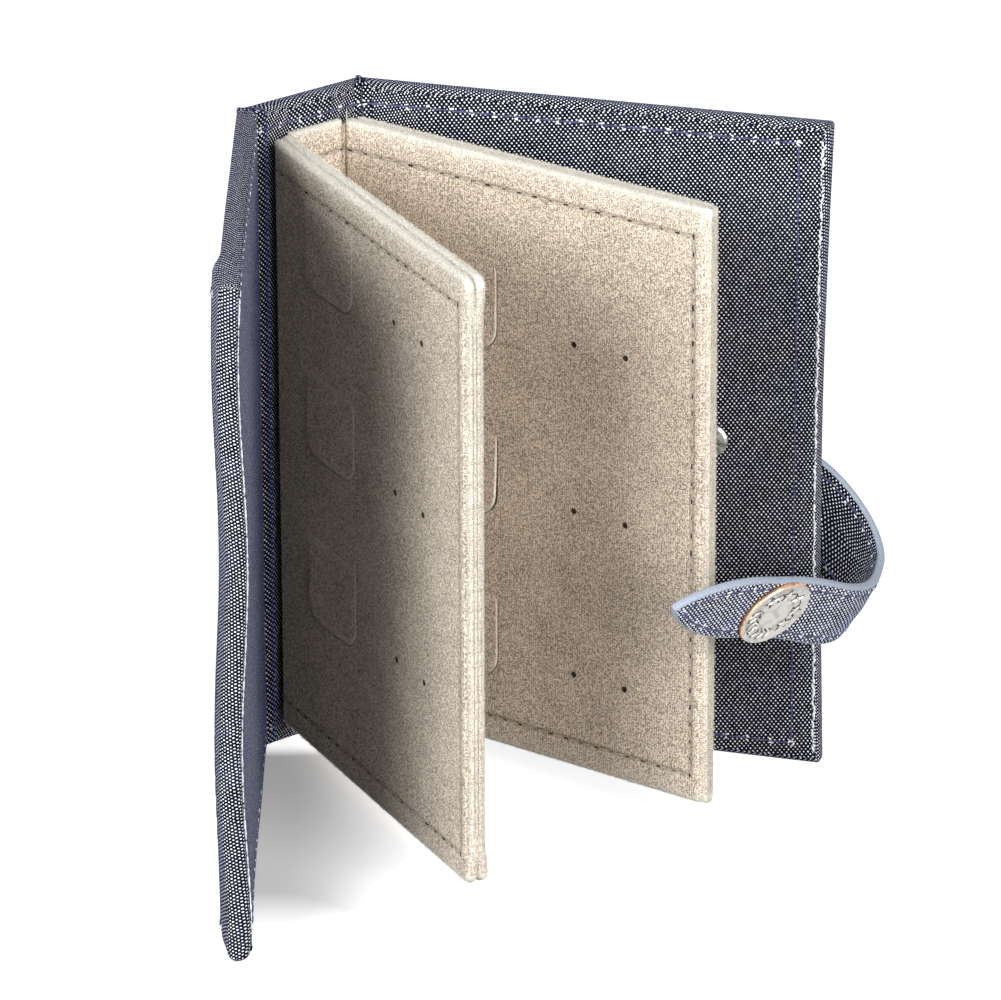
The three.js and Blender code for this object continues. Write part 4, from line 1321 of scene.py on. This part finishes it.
class BOOK_OT_pages(BookOperator, bpy.types.Operator):
    """Builds the velvet pages, their strip in the spine and the fibres on their rims"""

    bl_idname = "book.pages"
    bl_label = "Build Pages"

    def execute(self, context):
        cloth = velvet()
        for side, placement in PAGES.items():
            body = f"{side}_page"
            layers = (
                ("inner", 0.05 * MM, 0, PAGE_LAYER),
                ("outer", OUTER_SETBACK, PAGE_LAYER + 0.1 * MM, PAGE_THICKNESS),
            )
            for layer, root, near, far in layers:
                self.panel(side, layer, body, placement, (root, near, far), cloth)
            self.crease(side, placement, cloth)
        self.strip(cloth)
        return {"FINISHED"}

    def fluff(self, mesh, body):
        book = self.book
        tree = bpy.data.node_groups.get("Rim Pile") or pile_tree()
        name = f"{mesh.name}_pile"
        # The fibres standing on the rims are given a pale colour, which adds to the painted highlight
        # there
        fibres = plain_pile("Velvet fibres", (0.86, 0.83, 0.76, 1), (0.62, 0.58, 0.50, 1),
                            own_map=False, roughness=1.0, specular=0.05)
        obj = grown(name, mesh.copy(), tree, {
            "Density": book.pile_density, "Length": book.pile_length, "Thickness": 0.045 * MM,
            "Lean": 0.65, "Seed": book.seed}, fibres)
        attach(obj, body)

    def panel(self, side, layer, body, placement, spans, cloth):
        root, near, far = spans
        outline = rounded_outline(
            root, PAGE_WIDTH, PAGE_FOOT, PAGE_HEAD, PAGE_CORNER, 36, (True, False))
        mesh = plate(f"{side}_{layer}_page", outline, PAGE_ROWS, near, far, 1.05 * MM, placement,
                     getattr(self, f"{side}_edges"), fringe=(False, True), pale_end=0.4)
        self.fluff(mesh, body)
        # Painted shade: a near-black velvet for the stud holes' walls, as if the holes were in shade
        painted_shade = plain_pile("Hole wall", (0.10, 0.07, 0.05, 1), (0.045, 0.032, 0.022, 1),
                          own_map=False, roughness=1.0)
        obj = new_object(mesh.name, mesh, cloth, cloth, painted_shade)
        face, sign = (near, 1) if layer == "inner" else (far, -1)
        obj = self.cut(obj, side, placement, face, sign)
        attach(obj, body)
        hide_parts(f"{side}_{layer}_velvet")

    def left_edges(self, a, b, c):
        """Closes the gap between the left page's panels along its fore-edge."""
        from_end = min(b - PAGE_FOOT, PAGE_HEAD - b)
        return self.closed(a, b, c, held((from_end - LEFT_OPEN_END) / LEFT_OPEN_FADE))

    def right_edges(self, a, b, c):
        """Closes the gap between the right page's panels all round."""
        a, b, c = self.closed(a, b, c, 1)
        if abs(c - PAGE_THICKNESS / 2) < SHUT_DEPTH:
            for end in (PAGE_FOOT, PAGE_HEAD):
                b += (end - b) * self.nearness(abs(end - b))
        return a, b, c

    def nearness(self, gap):
        return held((SHUT_REACH - gap) / SHUT_SPAN)

    def closed(self, a, b, c, share):
        """Rounds the fore-edge of the two panels as one."""
        middle = PAGE_THICKNESS / 2
        near = self.nearness(PAGE_WIDTH - a)
        shut = near * share
        if abs(c - middle) < SHUT_DEPTH:
            return a + (PAGE_WIDTH - a) * shut, b, c - math.copysign(0.2 * MM, c - middle) * shut
        return a, b, c - math.copysign(0.6 * MM, c - middle) * (shut * near) ** 2

    def cut(self, obj, side, placement, face, sign):
        """Cuts the windows of the tongues and the stud holes; the holes' walls get a near-black
        material, painted shade.
        """
        tools = bmesh.new()
        for row in page_rows(side):
            ends = sorted((face - sign * 0.5 * MM, face + sign * WINDOW_DEPTH))
            outline = tongue_outline(row, WINDOW_MARGIN, 0)
            window = plate("window", outline, 4, *ends, 0.05 * MM, placement, rim_steps=1)
            tools.from_mesh(window)
            bpy.data.meshes.remove(window)
            for column in STUD_COLUMNS:
                drilled(tools, placement, (column, row), STUD_HOLE_RADIUS, -PAGE_THICKNESS,
                        2 * PAGE_THICKNESS, HOLE_SLOT)
        cloth, _, painted_shade = obj.data.materials
        name, result = carved(obj, tools)
        walls = [int(face.material_index == HOLE_SLOT) for face in result.polygons]
        result.materials.clear()
        result.polygons.foreach_set("material_index", walls)
        return new_object(name, result, cloth, painted_shade)

    def strip(self, cloth):
        low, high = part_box("page_spine_velvet")
        tuck = 0.15 * MM
        outline = rounded_outline(
            low.x - tuck, high.x + tuck, PAGE_FOOT, PAGE_HEAD, 0.8 * MM, 8, (True, True))
        mesh = plate("spine_strip", outline, PAGE_ROWS, 0, high.y - low.y, 1.0 * MM, STRIP,
                     fringe=(False, False))
        self.fluff(mesh, "spine")
        obj = new_object(mesh.name, mesh, cloth)
        one_slot(mesh)
        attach(obj, "spine")
        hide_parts("page_spine_velvet")

    def crease(self, side, placement, cloth):
        """Velvet folded round behind a page's hinge line."""
        hinge, start, end = placement.origin.xy, Vector((0, 1)), placement.through.xy
        radius = PAGE_LAYER - 0.1 * MM
        section = [hinge + (start + end).normalized() * 0.3 * MM]
        for i in range(9):
            section.append(hinge + start.slerp(end, i / 8) * radius)
        foot, head = PAGE_FOOT + 0.9 * MM, PAGE_HEAD - 0.9 * MM
        rings = [(z, section) for z, _ in levels(foot, head, 0.1 * MM, 30)]
        mesh = upright(f"{side}_page_fold", rings)
        obj = new_object(mesh.name, mesh, cloth)
        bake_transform(obj)
        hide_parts(f"{side}_crease_velvet")


class BOOK_OT_tongues(BookOperator, bpy.types.Operator):
    """Builds the lift-up velvet tongues of the pages"""

    bl_idname = "book.tongues"
    bl_label = "Build Tongues"

    def execute(self, context):
        cloth = velvet(seamed=False)
        for side, placement in PAGES.items():
            for layer, face, sign in (("inner", 0, 1), ("outer", PAGE_THICKNESS, -1)):
                for number, row in enumerate(page_rows(side), 1):
                    name = f"{side}_{layer}_tongue_{number}"
                    back = face + sign * (WINDOW_DEPTH - TONGUE_PLAY)
                    depths = sorted((back, face - sign * TONGUE_PROUD))
                    hinge = row - TONGUE_DROP + TONGUE_HEIGHT
                    worn = (side, layer) == ("right", "inner")
                    rise = TONGUE_RISES[number - 1] if worn else TONGUE_RISE

                    def warp(a, b, c):
                        across = (a - TONGUE_FROM_CREASE) / TONGUE_WIDTH
                        lift = across if side == "right" else 1 - across
                        return a, b, c - sign * rise * max(0.0, hinge - b) / TONGUE_HEIGHT * lift

                    outline = tongue_outline(row, 0, TONGUE_TUCK)
                    # The tongues' edges and ends get a painted highlight (reach and pale_end)
                    mesh = plate(f"{name}_flap", outline, 10, *depths, TONGUE_EDGE, placement, warp,
                                 reach=TONGUE_RIM_HIGHLIGHT_REACH, pale_end=1.0)
                    obj = new_object(mesh.name, mesh, cloth)
                    one_slot(mesh)
                    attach(obj, name)
                    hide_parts(name)
        return {"FINISHED"}


class BOOK_OT_page_sewing(BookOperator, bpy.types.Operator):
    """Sews the seams of the pages and of the strip in the spine"""

    bl_idname = "book.page_sewing"
    bl_label = "Sew Pages"

    def execute(self, context):
        book = self.book
        yarn = thread("page", book.page_thread, 0.35)
        # Painted shade: near-black capsules in the needle holes between the stitches
        painted_shade = thread("needle pit", (0.02, 0.015, 0.012, 1), 0.3)
        sunk = 0.02 * MM
        path = seam_path(1.5 * MM, SEAM_SIDE, SEAM_FOOT, SEAM_HEAD)
        for side, placement in PAGES.items():
            for layer, face, sign in (("inner", sunk, -1), ("outer", PAGE_THICKNESS - sunk, 1)):
                out = placement.through * sign
                stitches, gaps = seam_rows(placement, path, face, out, book.page_stitch)
                if (side, layer) == ("left", "outer"):
                    gaps = [row for row in gaps if not SEAM_FOOT + MM < row[0].z < SEAM_HEAD - MM]
                self.line(f"{side}_{layer}_seam", f"{side}_page", (stitches, gaps), yarn, painted_shade)
        rows = level_rows(STRIP, 6 * MM, (SEAM_HEAD, SEAM_FOOT), sunk, -STRIP.through, book.page_stitch)
        self.line("strip_seam", "spine", rows, yarn, painted_shade)
        self.loose_ends(yarn)
        return {"FINISHED"}

    def loose_ends(self, yarn):
        """Thread ends that stand at the head of the page creases and on the left page's foot seam."""
        ends = [(Vector((side * 6.9 * MM, PAGES["left"].origin.y - 0.7 * MM, PAGE_HEAD + rise)),
                 (UP + Vector((lean, 0, 0))).normalized(), Vector((0, -1, 0)))
                for side, rise, lean in ((1, 0.4 * MM, 0), (-1, -0.4 * MM, -0.7))]
        size = (4.2 * MM, 0.3 * MM, 0.3 * MM)
        obj = set_on_points("crease_thread_ends", ends, unit_capsule("thread_end"), size, yarn)
        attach(obj, "spine")
        page, depth = PAGES["left"], PAGE_THICKNESS + 0.1 * MM
        loop = [(page.on(place, SEAM_FOOT, depth), page.along + UP * lean, page.through)
                for place, lean in ((66.5 * MM, 0.6), (67.5 * MM, -0.6))]
        size = (2.0 * MM, 0.34 * MM, 0.34 * MM)
        obj = set_on_points("seam_thread_loop", loop, unit_capsule("thread_loop"), size, yarn)
        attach(obj, "left_page")

    def line(self, name, body, rows, yarn, painted_shade):
        stitches, gaps = rows
        length = self.book.page_stitch * 0.84
        capsule = unit_capsule(f"{name}_stitch")
        obj = set_on_points(name, stitches, capsule, (length, 0.3 * MM, 0.2 * MM), yarn, 0.1,
                            self.book.seed)
        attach(obj, body)
        # The pits are painted shade in the needle holes
        pit = unit_capsule(f"{name}_pit", 2, 6)
        obj = set_on_points(f"{name}_pits", gaps, pit, PIT_SIZE, painted_shade, 0.45, self.book.seed)
        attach(obj, body)


class BOOK_OT_strap(BookOperator, bpy.types.Operator):
    """Builds the denim strap with its painted edge and its sewing"""

    bl_idname = "book.strap"
    bl_label = "Build Strap"

    def execute(self, context):
        book = self.book
        half = STRAP_THICKNESS / 2
        mesh = plate(
            "strap_band", strap_outline(90), 10, -half, half, 0.6 * MM, STRAP, slots=(2, 0))
        edge = plain_pile("Edge paint", (0.37, 0.41, 0.48, 1), (0.27, 0.31, 0.39, 1), 0.7 * MM,
                          bump=0.05 * MM, roughness=0.6, specular=0.3)
        obj = new_object(mesh.name, mesh, denim("strap"), edge, denim("lining"))
        self.join(obj)
        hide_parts(*(f"strap_{part}_{layer}" for part in ("root", "curl", "end")
                           for layer in ("cloth", "lining")))
        yarn = thread("cover", book.cover_thread)
        light = thread("pulled", book.denim_light, 0.15)
        stitches, gaps = self.seam()
        capsule = unit_capsule("strap_stitch")
        size = (book.strap_stitch * 0.9, 0.6 * MM, 0.42 * MM)
        self.join(set_on_points("strap_seam", stitches, capsule, size, yarn, 0.08, book.seed))
        speck = unit_capsule("strap_speck", 2, 5)
        rows = pulled_threads(gaps, 0.42 * MM, book.seed)
        self.join(set_on_points("strap_pulls", rows, speck, STRAP_PULL_SIZE, light, 0.35, book.seed))
        return {"FINISHED"}

    def join(self, obj):
        """Bakes a strap piece's transform into its mesh; the strap's middle before its last run is
        worked out but not used.
        """
        x, y, _ = STRAP.middle(STRAP.length - STRAP_RUN[-1][0])
        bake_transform(obj)

    def seam(self):
        """Gives stitch and gap rows round the strap, on both of its sides."""
        inset, step, tip_steps = 2.3 * MM, 0.5 * MM, 24
        width = STRAP_HALF_WIDTH - inset
        first = 2.5 * MM
        count = int((STRAP.length - STRAP_TIP - first) / step)
        edge = [(first + i * step, width) for i in range(count)]
        edge += [strap_tip(i / tip_steps, inset) for i in range(tip_steps)]
        path = [(a, -b) for a, b in edge] + [strap_tip(1, inset)] + edge[::-1]
        travelled = [0.0]
        for (a0, b0), (a1, b1) in zip(path, path[1:]):
            travelled.append(travelled[-1] + math.hypot(a1 - a0, b1 - b0))
        count = round(travelled[-1] / self.book.strap_stitch)
        stitches, gaps = [], []
        for k in range(2 * count + 1):
            wanted = travelled[-1] * k / (2 * count)
            i = min(bisect.bisect_left(travelled, wanted, 1), len(path) - 1)
            part = (wanted - travelled[i - 1]) / (travelled[i] - travelled[i - 1])
            (a0, b0), (a1, b1) = path[i - 1], path[i]
            a, b = a0 + (a1 - a0) * part, b0 + (b1 - b0) * part
            _, forward, outward = STRAP.axes(a)
            along = (forward * (a1 - a0) + STRAP.across * (b1 - b0)).normalized()
            for sign in (1, -1):
                row = (STRAP.on(a, b, sign * STRAP_THICKNESS / 2), along, outward * sign)
                (stitches if k % 2 else gaps).append(row)
        return stitches, gaps


class BOOK_OT_snap(BookOperator, bpy.types.Operator):
    """Builds the snap's cap with its stars and laurel, and finishes the other metal pieces"""

    bl_idname = "book.snap"
    bl_label = "Build Snap"

    def execute(self, context):
        nickel = metal("nickel", (0.52, 0.50, 0.475, 1), (0.40, 0.38, 0.36, 1), 500.0)
        copper = metal("copper", (0.80, 0.50, 0.32, 1), (0.42, 0.22, 0.13, 1))
        # Painted shadow: a near-black material for the sheets under the cap's ornaments
        painted_shade = plain_pile("Patina", (0.05, 0.04, 0.036, 1), (0.02, 0.016, 0.014, 1),
                          own_map=False, roughness=0.9)
        place, along, axis = STRAP.axes(STRAP.length - SNAP_FROM_TIP)
        seat = place + axis * (STRAP_THICKNESS / 2 + 0.1 * MM)
        side = (STRAP.across * 0.8 - along * 0.6).normalized()
        profile = [(SNAP_RADIUS * part, height * MM) for part, height in SNAP_PROFILE]
        mesh = lathe("snap_cap_shell", profile, 72, seat, axis, side, SNAP_SLOTS)
        obj = new_object(mesh.name, mesh, nickel, copper)
        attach(obj, "strap_end")
        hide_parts("snap_cap")
        self.ornament(seat + axis * 0.98 * MM, axis, side, nickel, painted_shade)
        worn = metal("worn nickel", (0.36, 0.37, 0.335, 1), (0.11, 0.12, 0.10, 1), 700.0)
        for node in ("strap_rivet_post", "strap_rivet_cap"):
            self.finish_node(node, worn)
        steel = metal("steel", (0.60, 0.61, 0.62, 1), (0.36, 0.36, 0.37, 1))
        for node in ("snap_socket", "snap_socket_plate", "snap_stud"):
            self.finish_node(node, steel)
        for node in frame["nodes"]:
            if node.endswith("_board") and not node.endswith("cover_board"):
                self.finish_node(node, grey_board())
        return {"FINISHED"}

    def finish_node(self, node, material):
        mesh = bpy.data.objects[node].data
        mesh.materials.clear()
        mesh.materials.append(material)

    def ornament(self, middle, axis, side, nickel, painted_shade):
        """Five stars over the top of the cap's field and two sprigs of laurel under them, each on a
        larger near-black sheet that is a painted shadow.
        """
        other = axis.cross(side)

        def spot(radius, degrees):
            turn = math.radians(degrees)
            ray = side * math.cos(turn) + other * math.sin(turn)
            return middle + ray * radius, ray

        star = []
        for i in range(10):
            reach = 1.0 if i % 2 == 0 else 0.42
            star.append((reach * math.cos(i * math.pi / 5), reach * math.sin(i * math.pi / 5)))
        stars = []
        for i in range(5):
            place, ray = spot(STAR_RING, (i - 2) * 42)
            stars.append((place, ray, axis))
        leaf = [(math.cos(t), 0.36 * math.sin(t)) for t in (i * math.pi / 5 for i in range(10))]
        leaves, stems = [], []
        for hand in (-1, 1):
            for i in range(4):
                place, ray = spot(LAUREL_RING, 180 + hand * (8 + 18 * i))
                along = axis.cross(ray) * -hand
                stems.append((place, along, axis))
                for lean in (-1, 1):
                    way = (along * 0.75 + ray * lean * 0.8).normalized()
                    leaves.append((place + way * 1.05 * MM, way, axis))
        shapes = (
            ("stars", stars, unit_relief("star", star), (1.55 * MM, 1.55 * MM, 0.34 * MM)),
            ("leaves", leaves, unit_relief("leaf", leaf), (1.0 * MM, 0.95 * MM, 0.3 * MM)),
            ("stems", stems, unit_capsule("stem"), (1.9 * MM, 0.26 * MM, 0.4 * MM)),
        )
        for name, rows, shape, size in shapes:
            # Painted shadow: a larger near-black copy of each ornament, just under it
            shadow = [(place - axis * 0.02 * MM, along, out) for place, along, out in rows]
            deep = (size[0] * 1.5, size[1] * 1.8, size[2] * 0.3)
            under = set_on_points(f"snap_{name}_recess", shadow, shape.copy(), deep, painted_shade)
            over = set_on_points(f"snap_{name}", rows, shape, size, nickel)
            for obj in (under, over):
                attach(obj, "strap_end")


def seen_rays(tree):
    """Gives 1 for rays that show the background: seen straight, mirrored or through something."""
    rays = add_node(tree, "ShaderNodeLightPath").outputs
    mirrored = maths(tree, "MAXIMUM", rays["Is Glossy Ray"], rays["Is Transmission Ray"])
    return maths(tree, "MAXIMUM", rays["Is Camera Ray"], mirrored)


class BOOK_OT_stage(BookOperator, bpy.types.Operator):
    """Sets up the floor, the lights, the sky and the camera"""

    bl_idname = "book.stage"
    bl_label = "Build Stage"

    def execute(self, context):
        stage = context.scene.earring_book_stage
        objects = [self.floor(), self.camera(stage)]
        objects.append(self.light("key_light", KEY_PLACE, KEY_SIZE, stage.key_power))
        objects[-1].data.color = KEY_COLOUR
        objects.append(self.light("front_light", FRONT_PLACE, FRONT_SIZE, stage.front_power))
        self.sky(context.scene, stage)
        context.scene.view_settings.view_transform = "Standard"
        return {"FINISHED"}

    def floor(self):
        mesh = bpy.data.meshes.new("floor")
        half = FLOOR_HALF
        corners = [(-half, -half, 0), (half, -half, 0), (half, half, 0), (-half, half, 0)]
        mesh.from_pydata(corners, [], [(0, 1, 2, 3)])
        paint = bpy.data.materials.new("Floor")
        paint.use_nodes = True
        tree = paint.node_tree
        shader = tree.nodes["Principled BSDF"]
        seen = seen_rays(tree)
        tone = blend_colours(tree, seen, (0.2, 0.2, 0.2, 1), (0.52, 0.52, 0.52, 1))
        tree.links.new(tone, shader.inputs["Base Color"])
        place = add_node(tree, "ShaderNodeTexCoord").outputs["Object"]
        offset = vector_maths(tree, "SUBTRACT", {0: place, 1: FRONT.origin})
        # Painted shadow: the floor's glow drops to 0.2 in the wedge on the inner side of the front
        # cover, a shadow laid on the floor; elsewhere the floor glows evenly white
        glow = None
        for way, start, end, painted_shadow_glow in (
                (FRONT.through, 8, 42, 0.2), (FRONT.through, 2, 0, 0.0), (FRONT.along, 60, 96, 0.0),
                (FRONT.along, 10, 0, 0.0)):
            far = add_node(
                tree, "ShaderNodeVectorMath", {0: offset, 1: way}, operation="DOT_PRODUCT")
            part = add_node(tree, "ShaderNodeMapRange", {
                0: far.outputs["Value"], 1: start * MM, 2: end * MM, 3: painted_shadow_glow, 4: FLOOR_GLOW},
                interpolation_type="SMOOTHSTEP").outputs[0]
            glow = part if glow is None else maths(tree, "MAXIMUM", glow, part)
        shader.inputs["Emission Color"].default_value = (1, 1, 1, 1)
        tree.links.new(maths(tree, "MULTIPLY", glow, seen), shader.inputs["Emission Strength"])
        shader.inputs["Roughness"].default_value = 1.0
        shader.inputs["Specular IOR Level"].default_value = 0.0
        return new_object("floor", mesh, paint)

    def light(self, name, place, size, power):
        lamp = bpy.data.lights.new(name, "AREA")
        lamp.shape = "DISK"
        lamp.size = size
        lamp.energy = power
        obj = new_object(name, lamp)
        obj.location = place
        view = Vector(LIGHT_TARGET) - Vector(place)
        obj.rotation_euler = view.to_track_quat("-Z", "Y").to_euler()
        return obj

    def sky(self, scene, stage):
        world = bpy.data.worlds.new("White sky")
        world.use_nodes = True
        tree = world.node_tree
        background = tree.nodes["Background"]
        strength = add_node(tree, "ShaderNodeMapRange", {0: seen_rays(tree), 3: stage.sky, 4: 1.0})
        tree.links.new(strength.outputs[0], background.inputs["Strength"])
        background.inputs["Color"].default_value = (1, 1, 1, 1)
        scene.world = world

    def camera(self, stage):
        data = bpy.data.cameras.new("camera")
        data.lens = stage.lens
        data.sensor_width = 36
        data.sensor_fit = "HORIZONTAL"
        data.clip_end = 10
        obj = new_object("camera", data)
        level = math.cos(stage.elevation)
        view = Vector((-math.sin(stage.azimuth) * level, math.cos(stage.azimuth) * level,
                       -math.sin(stage.elevation)))
        turn = view.to_track_quat("-Z", "Y").to_matrix() @ Matrix.Rotation(stage.roll, 3, "Z")
        right, upward = turn.col[0], turn.col[1]
        middle = Vector((0, SPINE.origin.y, COVER_HEIGHT / 2))
        place = middle + right * stage.aim_right + upward * stage.aim_up - view * stage.distance
        obj.matrix_world = Matrix.Translation(place) @ turn.to_4x4()
        bpy.context.scene.camera = obj
        return obj


OPERATORS = (
    BOOK_OT_covers, BOOK_OT_cover_sewing, BOOK_OT_pages, BOOK_OT_tongues, BOOK_OT_page_sewing,
    BOOK_OT_strap, BOOK_OT_snap, BOOK_OT_stage,
)


class BOOK_PT_sidebar(bpy.types.Panel):
    """Sidebar panel of the earring book"""

    bl_idname = "BOOK_PT_sidebar"
    bl_label = "Earring Book"
    bl_space_type = "VIEW_3D"
    bl_region_type = "UI"
    bl_category = "Earring Book"

    def draw(self, context):
        for group in (context.scene.earring_book, context.scene.earring_book_stage):
            box = self.layout.box()
            for key in group.__annotations__:
                box.prop(group, key)
        for operator in OPERATORS:
            self.layout.operator(operator.bl_idname)


CLASSES = (BookSettings, StageSettings, *OPERATORS, BOOK_PT_sidebar)


def register():
    for cls in CLASSES:
        bpy.utils.register_class(cls)
    bpy.types.Scene.earring_book = bpy.props.PointerProperty(type=BookSettings)
    bpy.types.Scene.earring_book_stage = bpy.props.PointerProperty(type=StageSettings)


def unregister():
    del bpy.types.Scene.earring_book_stage
    del bpy.types.Scene.earring_book
    for cls in reversed(CLASSES):
        bpy.utils.unregister_class(cls)


def main():
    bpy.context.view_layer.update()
    register()
    bpy.ops.book.covers()
    bpy.ops.book.cover_sewing()
    bpy.ops.book.pages()
    bpy.ops.book.tongues()
    bpy.ops.book.page_sewing()
    bpy.ops.book.strap()
    bpy.ops.book.snap()
    bpy.ops.book.stage()


if __name__ == "__main__":
    main()
